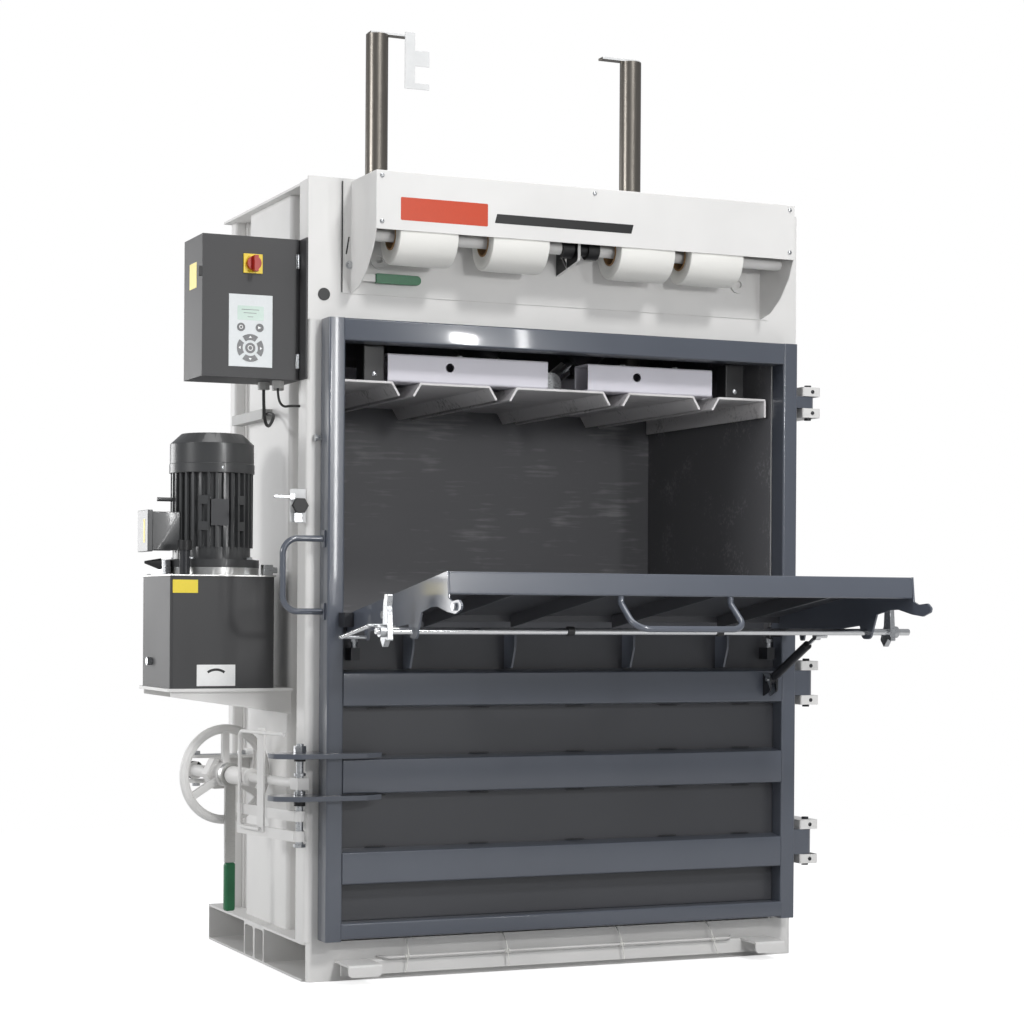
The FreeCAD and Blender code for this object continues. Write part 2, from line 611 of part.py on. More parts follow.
def ram_beams():
    shapes = []
    front = tube_box("X", -380.0, -300.0, RAM_TOP, RAMBEAM_TOP, -459.0, -32.0, 5.0, 6.0)
    shapes.append(front.cut(cyl((-296.0, -390.0, 1486.0), (0, 1, 0), BEAM_HOLE_R, 30.0)))
    front = tube_box("X", -380.0, -300.0, RAM_TOP, RAMBEAM_TOP, 79.0, 434.0, 5.0, 6.0)
    shapes.append(front.cut(cyl((217.5, -390.0, 1486.0), (0, 1, 0), BEAM_HOLE_R, 30.0)))
    shapes.append(tube_box("X", -148.0, -78.0, RAM_TOP, RAM_TOP + 55.0, -560.0, 560.0, 5.0, 6.0))
    shapes.append(tube_box("X", 190.0, 270.0, RAM_TOP, RAMBEAM_TOP, -560.0, 560.0, 5.0, 6.0))
    for x in (-450.0, 450.0):
        shapes.append(box(x - 30.0, x + 30.0, -300.0, -148.0, RAM_TOP, RAM_TOP + 12.0))
        shapes.append(box(x - 30.0, x + 30.0, 20.0, 190.0, RAM_TOP, RAM_TOP + 12.0))
    for side in (-1.0, 1.0):
        x0 = min(side * 300.0, side * 500.0)
        shapes.append(box(x0, x0 + 200.0, -78.0, 20.0, RAM_TOP, RAM_TOP + 10.0))
    lug_half = EYE_R
    for side in (-1.0, 1.0):
        px = side * RAM_PIN[0]
        pz = RAM_PIN[1]
        eye = [(px - lug_half, RAM_TOP), (px + lug_half, RAM_TOP), (px + lug_half, pz + EYE_R)]
        eye += [(px - lug_half, pz + EYE_R)]
        for face in (-1.0, 1.0):
            a = CYL_Y + face * (EYE_HALF + CLEVIS_GAP)
            b = a + face * CLEVIS_T
            lug = prism("Y", eye, min(a, b), max(a, b), [0.0, 0.0, EYE_R - 1.0, EYE_R - 1.0], [(px, pz, PIN_R)])
            shapes.append(lug)
    shapes.append(box(-75.0, 75.0, CYL_Y + 32.3, -148.0, RAM_TOP, RAM_TOP + 10.0))
    shapes.append(box(-75.0, 75.0, -300.0, CYL_Y - 32.3, RAM_TOP, RAM_TOP + 10.0))
    return shapes


keep("ram_beams", ram_beams())

for side in (-1.0, 1.0):
    px, pz = side * RAM_PIN[0], RAM_PIN[1]
    pin = cyl((px, CYL_Y - 38.0, pz), (0, 1, 0), PIN_R, 76.0)
    keep("ram_beams", pin)
retainer = box(-30.0, 30.0, CYL_Y - 42.0, CYL_Y - 38.0, 1466.0, 1484.0)
keep("ram_beams", retainer)

for side in (-1.0, 1.0):
    foot = RAM_TOP + 10.0
    tube = ring((side * GUIDE_X, GUIDE_Y, foot), (0, 0, 1), GUIDE_R, GUIDE_R - GUIDE_WALL, GUIDE_TOP - foot)
    keep("guide_tubes", tube)
    x0 = min(side * (GUIDE_X + 22.0), side * 275.0)
    x1 = max(side * (GUIDE_X + 22.0), side * 275.0)
    keep("guide_tubes", box(x0, x1, GUIDE_Y - 14.0, GUIDE_Y + 14.0, GUIDE_TOP, GUIDE_TOP + 6.0))
stem = FLAG_X0 + 28.0
top = GUIDE_TOP + 12.0
flag = [(FLAG_X0, top - 146.0), (FLAG_X1, top - 146.0), (FLAG_X1, top - 130.0), (stem, top - 130.0)]
flag += [(stem, top - 86.0), (FLAG_X1, top - 86.0), (FLAG_X1, top - 46.0), (stem, top - 46.0)]
flag += [(stem, top), (FLAG_X0, top)]
keep("guide_tubes", prism("Y", flag, FLAG_Y - FLAG_T, FLAG_Y))

for side in (-1.0, 1.0):
    x0 = min(side * (RAM_HALF - 65.0), side * (RAM_HALF - 120.0))
    block = prism("Z", [(x0, -387), (x0 + 55, -387), (x0 + 55, -335), (x0, -335)], RAM_TOP, 1530.0, 4.0)
    keep("ram_beams", block)


# ---------------------------------------------------------------- cylinders
def cylinder():
    """Right-hand cylinder: the rod's eye is on the ram's pin, the barrel's eye on the head's."""
    sx = HEAD_PIN[0] - RAM_PIN[0]
    sz = HEAD_PIN[1] - RAM_PIN[1]
    length = math.hypot(sx, sz)
    ux, uz = sx / length, sz / length
    rx, rz = RAM_PIN
    hx, hz = HEAD_PIN
    out = (ux, 0.0, uz)
    back = (-ux, 0.0, -uz)
    eye = cyl((rx, CYL_Y - EYE_HALF, rz), (0, 1, 0), EYE_R, 2.0 * EYE_HALF)
    shaft = cyl((rx, CYL_Y, rz), out, ROD_R, length - BORE_END - 5.6)
    rod = eye.fuse(shaft)
    rod = rod.cut(cyl((rx, CYL_Y - EYE_HALF - 1, rz), (0, 1, 0), PIN_R + 0.05, 2.0 * EYE_HALF + 2.0))
    head_eye = cyl((hx, CYL_Y - EYE_HALF, hz), (0, 1, 0), EYE_R, 2.0 * EYE_HALF)
    neck = cyl((hx, CYL_Y, hz), back, EYE_HALF - 1.0, 80.0)
    start = BORE_END - 10.0
    tube = cyl((hx - ux * start, CYL_Y, hz - uz * start), back, BARREL_R, length - start - ROD_OUT)
    start = BORE_END
    bore = cyl((hx - ux * start, CYL_Y, hz - uz * start), back, ROD_R + ROD_GAP, length - start - ROD_OUT + 26.0)
    barrel = head_eye.fuse(neck).fuse(tube).cut(bore).removeSplitter()
    return rod.removeSplitter(), barrel


rod, barrel = cylinder()
keep("cylinder_rod_right", rod)
keep("cylinder_barrel_right", barrel)
keep("cylinder_rod_left", mirror_x(rod))
keep("cylinder_barrel_left", mirror_x(barrel))


# ---------------------------------------------------------------- door
def door_frame():
    shapes = []
    for x0, x1 in ((-DOOR_HALF, -DOOR_IN), (DOOR_IN, DOOR_HALF)):
        shapes.append(tube_box("Z", x0, x1, DOOR_FRONT, DOOR_BACK, DOOR_Z0, DOOR_Z1, 4.0, DOOR_CORNER_R))
    for z0, z1 in ((DOOR_TOP_RAIL, DOOR_Z1), (DOOR_Z0 + 4.5, DOOR_LOW_RAIL)):
        rail = tube_box("X", DOOR_FRONT, DOOR_BACK, z0, z1, -DOOR_IN - 2.0, DOOR_IN + 2.0, 4.0, DOOR_CORNER_R)
        shapes.append(rail)
    return join(shapes)


keep("door_frame", door_frame())


def door_panel():
    y0 = DOOR_PANEL_Y
    lip = DOOR_BACK - 1.0
    path = [(lip, DOOR_PANEL_TOP), (y0, DOOR_PANEL_TOP), (y0, DOOR_LOW_RAIL)]
    panel = folded("X", path, 4.0, -DOOR_IN, DOOR_IN)
    for side in (-1.0, 1.0):
        x0 = min(side * (DOOR_IN - 28.0), side * (DOOR_IN + 1.0))
        x1 = max(side * (DOOR_IN - 28.0), side * (DOOR_IN + 1.0))
        panel = panel.cut(box(x0, x1, y0 - 5.0, DOOR_BACK + 1.0, 825.0, DOOR_PANEL_TOP + 1.0))
    return panel


keep("door_panel", door_panel())


def door_ribs():
    ribs = []
    for z0, z1 in RIB_BANDS:
        path = [(DOOR_PANEL_Y, z0), (DOOR_FRONT, z0 + 6.0), (DOOR_FRONT, z1 - 6.0), (DOOR_PANEL_Y, z1)]
        panel_zone = box(-DOOR_IN, DOOR_IN, DOOR_PANEL_Y, DOOR_BACK, z0 - 5.0, z1 + 5.0)
        ribs.append(folded("X", path[::-1], 4.0, -DOOR_IN, DOOR_IN).cut(panel_zone))
    z0 = RIB_BANDS[2][1]
    web = [(DOOR_PANEL_Y, z0), (DOOR_FRONT, z0 + 4.0), (-485.0, 800.0), (-485.0, 832.0), (DOOR_PANEL_Y, 832.0)]
    for x in STIFF_X:
        ribs.append(prism("X", web, x - 3.0, x + 3.0))
    return ribs


keep("door_panel", door_ribs())


def hinge_pieces():
    for z0, z1 in HINGE_BANDS:
        block = 24.0
        for a in (z0, z1 - block):
            near, far = HINGE_X - 29.0, HINGE_X + 24.0
            outer = [(near, -455.0), (far, -455.0), (far, -330.0), (near, -330.0)]
            body = prism("Z", outer, a, a + block, [5.0, 5.0, 0.0, 0.0], [(HINGE_X, HINGE_Y, HINGE_PIN_R)])
            body = body.cut(box(near - 11.0, HALF_W, -401.0, -329.0, a - 1, a + block + 1))
            keep("door_hinge_blocks", body)
        low = z0 + block + CLEAR
        high = z1 - block - CLEAR
        lug = [(DOOR_HALF, -452.0), (HINGE_X, -452.0), (HINGE_X + 18.0, HINGE_Y)]
        lug += [(HINGE_X, -412.0), (DOOR_HALF, -412.0)]
        hole = [(HINGE_X, HINGE_Y, HINGE_PIN_R + 0.05)]
        keep("door_frame", prism("Z", lug, low, high, [0.0, 15.0, 15.0, 12.0, 0.0], hole))
        keep("door_hinge_blocks", cyl((HINGE_X, HINGE_Y, z0 - 6.0), (0, 0, 1), HINGE_PIN_R, z1 - z0 + 12.0))


hinge_pieces()

GRAB_X = -DOOR_HALF - 102.0
grab = [(-DOOR_HALF, FLAP_Y, 886.0), (GRAB_X, FLAP_Y, 886.0)]
grab += [(GRAB_X, FLAP_Y, 1059.0), (-DOOR_HALF, FLAP_Y, 1059.0)]
grab_bar = bent_bar(grab, [38.0, 38.0], 7.5)
keep("door_handle", grab_bar)
for z in (866.0, 1039.0):
    foot = box(-DOOR_HALF - 4.0, -DOOR_HALF, FLAP_Y - 14.0, FLAP_Y + 14.0, z, z + 40.0)
    keep("door_handle", foot.cut(grab_bar))

STUD_Y = -410.5
STUD_Z = 1300.0
for side in (-1.0, 1.0):
    sx = side * DOOR_HALF
    start = sx if side > 0 else sx - 12.0
    keep("door_fittings", cyl((start, STUD_Y, STUD_Z), (1, 0, 0), 6.0, 12.0))
    keep("door_fittings", hexagon((sx + side * 12.0, STUD_Y, STUD_Z), (side, 0, 0), 17.0, 5.0))

for side in (-1.0, 1.0):
    a = side * (DOOR_IN - CLEAR)
    b = side * (FLAP_HALF + 1.0)
    lo, hi = min(a, b), max(a, b)
    plate = [(-455.0, 828.0), (-421.0, 828.0), (-421.0, 862.0), (-455.0, 862.0)]
    block = prism("X", plate, min(lo, side * DOOR_IN), max(hi, side * DOOR_IN), 3.0, [(FLAP_Y, FLAP_Z, FLAP_PIN_R)])
    keep("door_fittings", block)
    x0 = min(side * (DOOR_IN + 13.0), side * (DOOR_IN - 9.5))
    front = box(x0, x0 + 22.5, -505.0, DOOR_FRONT, 850.0, 884.0)
    keep("door_fittings", front)
    x0 = min(side * DOOR_IN, side * (DOOR_IN - 24.0))
    keep("door_fittings", cyl((x0, FLAP_Y, FLAP_Z), (1, 0, 0), FLAP_PIN_R, 24.0))
    x0 = min(side * (DOOR_IN - 20.0), side * (DOOR_IN - 42.0))
    stop = box(x0, x0 + 22.0, -461.0, DOOR_PANEL_Y, 770.0, 800.0)
    keep("door_fittings", stop)
    keep("door_fittings", cyl((x0 + 11.0, -449.0, 800.0), (0, 0, 1), 6.0, 14.0))
    keep("door_fittings", hexagon((x0 + 11.0, -449.0, 814.0), (0, 0, 1), 17.0, 8.0))


# ---------------------------------------------------------------- feed flap
def flap_panel():
    path = [(-474.0, 864.0), (-476.0, 883.0), (-1085.0, 975.0)]
    path += [(-1090.0, FLAP_LIP_Z), (-1072.0, FLAP_LIP_Z)]
    half = FLAP_HALF - 5.0
    skin = folded("X", path, FLAP_T, -half, half)
    shapes = [skin]
    rib = [(-482.0, 881.5), (-1081.0, 972.0), (-1081.0, 934.0), (-482.0, 850.0)]
    for x in (-400.0, HANDLE_XS[0], HANDLE_XS[1], 400.0):
        shapes.append(prism("X", rib, x - 3.0, x + 3.0).cut(skin))
    return shapes


keep("flap_panel", flap_panel())

SIDE_PLATE = [
    (-1085.0, 975.0), (-1092.0, 918.0), (-1112.0, 911.0), (-1150.0, 914.0), (-1166.0, 903.0),
    (-1162.0, 893.0), (-1131.0, 883.5), (-1086.0, 888.0), (-1029.0, 899.0), (-994.0, 898.0),
    (-935.0, 887.0), (-908.0, 828.0), (-872.0, 828.0), (-860.0, 860.0), (-712.0, 845.0),
    (-604.0, 842.0), (-598.0, 820.0), (-582.0, 820.0), (-576.0, 841.0), (-491.0, 838.0),
    (FLAP_Y, FLAP_Z - 12.0), (FLAP_Y + 12.0, FLAP_Z), (FLAP_Y, FLAP_Z + 12.0), (-476.0, 883.0),
]
SIDE_RADII = [0.0, 0.0, 0.0, 8.0, 6.0, 5.0, 0.0, 0.0, 0.0, 0.0, 0.0, 16.0, 16.0]
SIDE_RADII += [0.0, 0.0, 0.0, 5.0, 5.0, 0.0, 0.0, 6.0, 7.0, 6.0, 0.0]
for side in (-1.0, 1.0):
    lo = min(side * FLAP_HALF, side * (FLAP_HALF - 5.0))
    holes = [(FLAP_Y, FLAP_Z, FLAP_PIN_R + 0.05), (LATCH_Y, LATCH_Z, LATCH_R + 0.06)]
    keep("flap_side_plates", prism("X", SIDE_PLATE, lo, lo + 5.0, SIDE_RADII, holes))
    for by, bz in ((-705.0, 880.0), (-1130.0, 899.0)):
        start = side * FLAP_HALF
        keep("flap_fittings", hexagon((start, by, bz), (side, 0, 0), 17.0, 6.0))

a, b = HANDLE_XS
bend_z = FLAP_LIP_Z - 15.0
handle = [(a, HANDLE_ROOT_Y, FLAP_LIP_Z), (a, HANDLE_ROOT_Y, bend_z), (a, HANDLE_FRONT_Y, HANDLE_LOW_Z)]
handle += [(b, HANDLE_FRONT_Y, HANDLE_LOW_Z), (b, HANDLE_ROOT_Y, bend_z), (b, HANDLE_ROOT_Y, FLAP_LIP_Z)]
keep("flap_handle", bent_bar(handle, [13.0, 36.0, 36.0, 13.0], HANDLE_R))

keep("latch_rod", cyl((-DOOR_HALF - 37.0, LATCH_Y, LATCH_Z), (1, 0, 0), LATCH_R, 2.0 * DOOR_HALF + 100.0))
HOOK = [
    (LATCH_Y - 16.0, 845.0), (LATCH_Y - 11.0, 900.0), (LATCH_Y - 16.0, 926.0), (LATCH_Y + 4.0, 926.0),
    (LATCH_Y + 12.0, 905.0), (LATCH_Y + 15.0, 860.0), (LATCH_Y + 30.0, 826.0), (LATCH_Y + 14.0, 808.0),
    (LATCH_Y - 4.0, 828.0), (LATCH_Y - 18.0, 822.0),
]
for side in (-1.0, 1.0):
    inner, outer = DOOR_HALF + 2.0, DOOR_HALF + 15.0
    lo = min(side * inner, side * outer)
    hook = prism("X", HOOK, lo, lo + 13.0, 3.0, [(LATCH_Y, LATCH_Z, LATCH_R)])
    keep("latch_hooks", hook)
    lo = min(side * outer, side * (outer + 14.0))
    collar = cyl((lo, LATCH_Y, LATCH_Z), (1, 0, 0), 14.0, 14.0)
    collar = collar.cut(cyl((lo - 1.0, LATCH_Y, LATCH_Z), (1, 0, 0), LATCH_R, 16.0))
    keep("latch_hooks", collar)

# latch spring: a close-wound tension spring between two posts on the left side plate
SPRING_X = -FLAP_HALF - 61.0
SPRING_A = (SPRING_X, -590.0, 827.0)
SPRING_B = (SPRING_X, -780.0, 856.0)
SPRING_R = 5.0
for x, y, z in (SPRING_A, SPRING_B):
    keep("flap_fittings", cyl((x - 6.0, y, z), (1, 0, 0), 4.0, -FLAP_HALF - x + 6.0))
spring_run = Vec(*SPRING_B).sub(Vec(*SPRING_A))
spring_unit = Vec(spring_run)
spring_unit.normalize()
spring_start = Vec(*SPRING_A).add(Vec(spring_unit).multiply(4.0))
spring_bar = Part.makeCylinder(SPRING_R, spring_run.Length - 8.0, spring_start, spring_unit)
keep("flap_fittings", spring_bar)


# ---------------------------------------------------------------- gas strut
def strut():
    ax, ay, az = STRUT_A
    bx, by, bz = STRUT_B
    length = math.dist(STRUT_A, STRUT_B)
    u = (0.0, (by - ay) / length, (bz - az) / length)

    def along(t):
        return (ax, ay + u[1] * t, az + u[2] * t)

    tube = cyl(along(22.0), u, STRUT_TUBE_R, 178.0).fuse(cyl(along(4.0), u, 6.5, 20.0))
    eye = cyl((ax - 7.0, ay, az), (1, 0, 0), 11.0, 14.0)
    tube = tube.fuse(eye).cut(cyl(along(30.0), u, STRUT_ROD_R + 0.06, 180.0))
    tube = tube.cut(cyl((ax - 8.0, ay, az), (1, 0, 0), 5.05, 16.0)).removeSplitter()
    rod = cyl(along(length - 212.0), u, STRUT_ROD_R, 206.0)
    ball = cyl((bx - 7.0, by, bz), (1, 0, 0), 10.0, 14.0)
    stud = cyl((bx + 7.0, by, bz), (1, 0, 0), 5.0, FLAP_HALF - 5.0 - CLEAR - bx - 7.0)
    rod = rod.fuse(ball).fuse(stud).removeSplitter()
    return tube, rod


strut_tube, strut_rod = strut()
keep("strut_tube", strut_tube)
keep("strut_rod", strut_rod)
ax, ay, az = STRUT_A
bracket = [(ay - 14.0, 690.0), (ay - 14.0, 735.0), (DOOR_FRONT, 735.0), (DOOR_FRONT, 676.0)]
for a in (ax - 12.0, ax + 7.3):
    keep("door_fittings", prism("X", bracket, a, a + 4.7, [8.0, 8.0, 0.0, 0.0], [(ay, az, 5.0)]))
keep("door_fittings", cyl((ax - 16.0, ay, az), (1, 0, 0), 5.0, 32.0))


# ---------------------------------------------------------------- door lock
TILT = math.radians(LOCK_TILT)
ARM = (-math.sin(TILT), math.cos(TILT), 0.0)
OUT = (-math.cos(TILT), -math.sin(TILT), 0.0)


def arm_point(along, outward, z):
    x = LOCK_X + ARM[0] * along + OUT[0] * outward
    y = LOCK_Y + ARM[1] * along + OUT[1] * outward
    return (x, y, z)


def arm_box(t0, t1, s0, s1, z0, z1):
    corners = [arm_point(t, s, z0) for t, s in ((t0, s0), (t1, s0), (t1, s1), (t0, s1))]
    wire = Part.makePolygon([Vec(*c) for c in corners + corners[:1]])
    return Part.Face(wire).extrude(Vec(0, 0, z1 - z0))


def arm_rod(t0, t1, radius, z=LOCK_Z):
    return cyl(arm_point(t0, 0.0, z), ARM, radius, t1 - t0)


hook_plan = [
    (LOCK_X + 190.0, DOOR_FRONT), (LOCK_X + 145.0, -490.0), (LOCK_X - 22.0, -490.0), (LOCK_X - 74.0, -455.0),
    (LOCK_X - 82.0, -418.0), (LOCK_X - 65.0, -398.0), (LOCK_X + 6.0, -398.0), (LOCK_X + 14.0, -404.0),
    (-DOOR_HALF, -404.0), (-DOOR_HALF, DOOR_FRONT),
]
hook_radii = [0.0, 20.0, 25.0, 20.0, 18.0, 12.0, 3.0, 3.0, 0.0, 0.0]
for z in HOOK_ZS:
    plate = prism("Z", hook_plan, z - HOOK_T / 2, z + HOOK_T / 2, hook_radii, [(LOCK_X, LOCK_Y, LOCK_PIN_R)])
    keep("lock_hook_plates", plate)

LOCK_PIN_Z = LOCK_Z - 143.0
lock_pin = cyl((LOCK_X, LOCK_Y, LOCK_PIN_Z), (0, 0, 1), LOCK_PIN_R, 238.0)
keep("lock_pivot", lock_pin)
above = HOOK_ZS[1] + HOOK_T / 2.0
for z in (LOCK_PIN_Z - 8.0, above, above + 8.0):
    keep("lock_pivot", hexagon((LOCK_X, LOCK_Y, z), (0, 0, 1), 27.0, 8.0).cut(lock_pin))
reach = HOOK_T / 2.0 + 0.4
spacers = [(HOOK_ZS[0] - 21.0, HOOK_ZS[0] - reach), (HOOK_ZS[0] + reach, LOCK_Z - 18.0)]
spacers += [(LOCK_Z + 18.0, LOCK_Z + 26.0), (HOOK_ZS[1] - 15.0, HOOK_ZS[1] - reach)]
for z0, z1 in spacers:
    keep("lock_pivot", ring((LOCK_X, LOCK_Y, z0), (0, 0, 1), 14.0, LOCK_PIN_R, z1 - z0))

eye = arm_box(-17.0, 20.0, -15.0, 15.0, LOCK_Z - 14.0, LOCK_Z + 14.0)
eye = eye.cut(cyl((LOCK_X, LOCK_Y, LOCK_Z - 20.0), (0, 0, 1), LOCK_PIN_R + 0.05, 40.0))
bar = arm_rod(20.0, SLEEVE_A, SPINDLE_R)
sleeve = arm_rod(SLEEVE_A - 8.0, SLEEVE_B - 30.0, SLEEVE_R)
bush = arm_rod(SLEEVE_B - 30.0, WHEEL_AT - 16.5, BUSH_OUT_R)
sleeve = sleeve.fuse(bush).cut(arm_rod(SLEEVE_A + 12.0, SLEEVE_B, SPINDLE_R + 0.07))
keep("lock_carrier", join([eye, bar, sleeve]))


def strap_loop():
    lows = (339.5, 387.5)
    shapes = []
    for low in lows:
        knuckle = ring((LOCK_X, LOCK_Y, low), (0, 0, 1), 14.0, LOCK_PIN_R + 0.05, 25.0)
        plate = arm_box(0.0, 282.0, 11.0, 16.0, low, low + 25.0)
        plate = plate.cut(cyl((LOCK_X, LOCK_Y, low - 1.0), (0, 0, 1), LOCK_PIN_R + 0.05, 27.0))
        shapes.append(knuckle)
        shapes.append(plate)
    shapes.append(arm_box(270.0, 282.0, 11.0, 16.0, lows[0], lows[1] + 25.0))
    shapes.append(arm_box(140.0, 172.0, 16.0, 21.0, 352.0, 603.0))
    shapes.append(arm_box(146.0, 166.0, SPINDLE_R - 1.5, 16.0, LOCK_Z - 8.0, LOCK_Z + 8.0))
    guard = [arm_point(35.0, 25.0, 592.0), arm_point(252.0, 25.0, 592.0)]
    guard += [arm_point(252.0, 25.0, 358.0), arm_point(150.0, 25.0, 358.0)]
    shapes.append(bent_bar(guard, [14.0, 14.0], 4.6))
    return join(shapes).cut(arm_rod(100.0, 220.0, SPINDLE_R)).cut(arm_rod(SLEEVE_A - 8.0, SLEEVE_B, SLEEVE_R))


keep("lock_guard", strap_loop())

shaft = arm_rod(SLEEVE_A + 16.0, WHEEL_AT + 16.0, SPINDLE_R)
tail = arm_rod(WHEEL_AT + 16.0, WHEEL_AT + 176.0, 15.0)
nose = arm_rod(WHEEL_AT + 176.0, WHEEL_AT + 184.0, 20.0)
nut = hexagon(arm_point(WHEEL_AT + 16.0, 0.0, LOCK_Z), ARM, 75.0, 30.0).cut(tail)
keep("lock_spindle", [shaft, tail, nose, nut])
collar = arm_rod(WHEEL_AT + 160.0, WHEEL_AT + 174.0, 23.0).cut(arm_rod(WHEEL_AT + 150.0, WHEEL_AT + 190.0, 15.0))
keep("lock_spindle", collar)


def handwheel():
    centre = arm_point(WHEEL_AT, 0.0, LOCK_Z)
    mid = WHEEL_R - WHEEL_RIM / 2.0
    half = WHEEL_RIM / 2.0
    cut = half * 0.42
    pts = [(mid - half, -cut), (mid - cut, -half), (mid + cut, -half), (mid + half, -cut)]
    pts += [(mid + half, cut), (mid + cut, half), (mid - cut, half), (mid - half, cut)]
    cx, cy, cz = centre
    loop = [Vec(cx + OUT[0] * a + ARM[0] * b, cy + OUT[1] * a + ARM[1] * b, cz) for a, b in pts]
    rim = Part.Face(Part.makePolygon(loop + loop[:1])).revolve(Vec(*centre), Vec(*ARM), 360.0)
    shapes = [rim, arm_rod(WHEEL_AT - 16.0, WHEEL_AT + 16.0, 30.0)]
    for angle in (90.0, 210.0, 330.0):
        a = math.radians(angle)
        spoke = arm_box(WHEEL_AT - 6.0, WHEEL_AT + 6.0, -9.0, 9.0, LOCK_Z + 20.0, LOCK_Z + mid)
        shapes.append(turn(spoke, centre, ARM, angle - 90.0))
    wheel = join(shapes)
    return wheel.cut(arm_rod(WHEEL_AT - 30.0, WHEEL_AT + 30.0, SPINDLE_R))


keep("handwheel", handwheel())


def ratchet_lever():
    head = arm_rod(RATCHET_AT - 10.0, RATCHET_AT + 6.0, 30.0)
    blade = arm_box(RATCHET_AT - 6.0, RATCHET_AT + 2.0, -14.0, 14.0, 258.0, LOCK_Z - 12.0)
    lever = join([head, blade])
    return lever.cut(arm_rod(RATCHET_AT - 20.0, RATCHET_AT + 20.0, BUSH_OUT_R + 0.06))


keep("ratchet_lever", ratchet_lever())
grip = arm_box(RATCHET_AT - 12.0, RATCHET_AT + 8.0, -14.0, 14.0, 137.0, 258.0)
keep("ratchet_lever", grip.makeFillet(7.0, grip.Edges))


def lock_anchor():
    shapes = [box(-PANEL_X - 6.0, -PANEL_X, 100.0, 176.0, LOCK_Z - 47.0, LOCK_Z + 51.0)]
    root = -PANEL_X - 6.0
    plan = [(root, 102.0), (root - 147.0, 118.0), (root - 163.0, 134.0), (root - 163.0, 164.0), (root, 174.0)]
    for z in (LOCK_Z - 34.0, LOCK_Z + 30.0):
        shapes.append(prism("Z", plan, z, z + 8.0, [0.0, 14.0, 10.0, 10.0, 0.0]))
    shapes.append(box(root - 57.0, root, 134.0, 142.0, LOCK_Z - 26.0, LOCK_Z + 30.0))
    for x in (root - 139.0, root - 17.0):
        shapes.append(hexagon((x, 146.0, LOCK_Z + 38.0), (0, 0, 1), 19.0, 9.0))
        shapes.append(hexagon((x, 146.0, LOCK_Z - 43.0), (0, 0, 1), 19.0, 9.0))
    return shapes


keep("lock_anchor", lock_anchor())


# ---------------------------------------------------------------- power unit
def power_shelf():
    shapes = [box(TANK_X0 - 6.0, -PANEL_X, -206.0, 62.0, TANK_Z0 - 8.0, TANK_Z0)]
    low = TANK_Z0 - 8.0
    foot = TANK_Z0 - 63.0
    tip = TANK_X0 + 4.0
    for y in (-200.0, 50.0):
        root = -PANEL_X
        if y < PANEL_Y0:
            root = -PANEL_X - 3.0
            shapes.append(box(root - 6.0, root, y, PANEL_Y0 + 30.0, foot, TANK_Z0))
            shapes.append(box(root - 6.0, -PANEL_X, PANEL_Y0 + 12.0, PANEL_Y0 + 30.0, foot, TANK_Z0))
        web = [(tip, low), (root, low), (root, foot), (root - 12.0, foot), (tip, low - 12.0)]
        shapes.append(prism("Y", web, y, y + 6.0))
    return join(shapes)


keep("power_shelf", power_shelf())


def oil_tank():
    plan = [(TANK_X0, TANK_Y0), (TANK_X1, TANK_Y0), (TANK_X1, TANK_Y1), (TANK_X0, TANK_Y1)]
    t = TANK_T
    inner = [(TANK_X0 + t, TANK_Y0 + t), (TANK_X1 - t, TANK_Y0 + t)]
    inner += [(TANK_X1 - t, TANK_Y1 - t), (TANK_X0 + t, TANK_Y1 - t)]
    tank = prism("Z", plan, TANK_Z0, TANK_Z1, 8.0)
    return tank.cut(prism("Z", inner, TANK_Z0 + t, TANK_Z1 + 1.0, 5.0))


keep("oil_tank", oil_tank())
lid = box(TANK_X0 - 3.0, TANK_X1 + 3.0, TANK_Y0 - 3.0, TANK_Y1 + 3.0, TANK_Z1, TANK_Z1 + 4.0)
adapter = cyl((MOTOR_X, MOTOR_Y, TANK_Z1 + 4.0), (0, 0, 1), 117.0, 19.0)
lid = lid.fuse(adapter).cut(cyl((MOTOR_X, MOTOR_Y, TANK_Z1 - 1.0), (0, 0, 1), 30.0, 30.0))
keep("tank_lid", lid.removeSplitter())

pump = box(MOTOR_X - 42.0, MOTOR_X + 42.0, MOTOR_Y - 42.0, MOTOR_Y + 42.0, 850.0, TANK_Z1)
pipe = cyl((MOTOR_X, MOTOR_Y, 788.0), (0, 0, 1), 9.0, 62.0)
strainer = cyl((MOTOR_X, MOTOR_Y, 716.0), (0, 0, 1), 30.0, 72.0)
keep("oil_pump", join([pump, pipe, strainer]))

FLANGE_Z = TANK_Z1 + 23.0
BODY_Z0 = FLANGE_Z + 49.0
BODY_Z1 = 1225.0
COWL_TOP = 1324.0


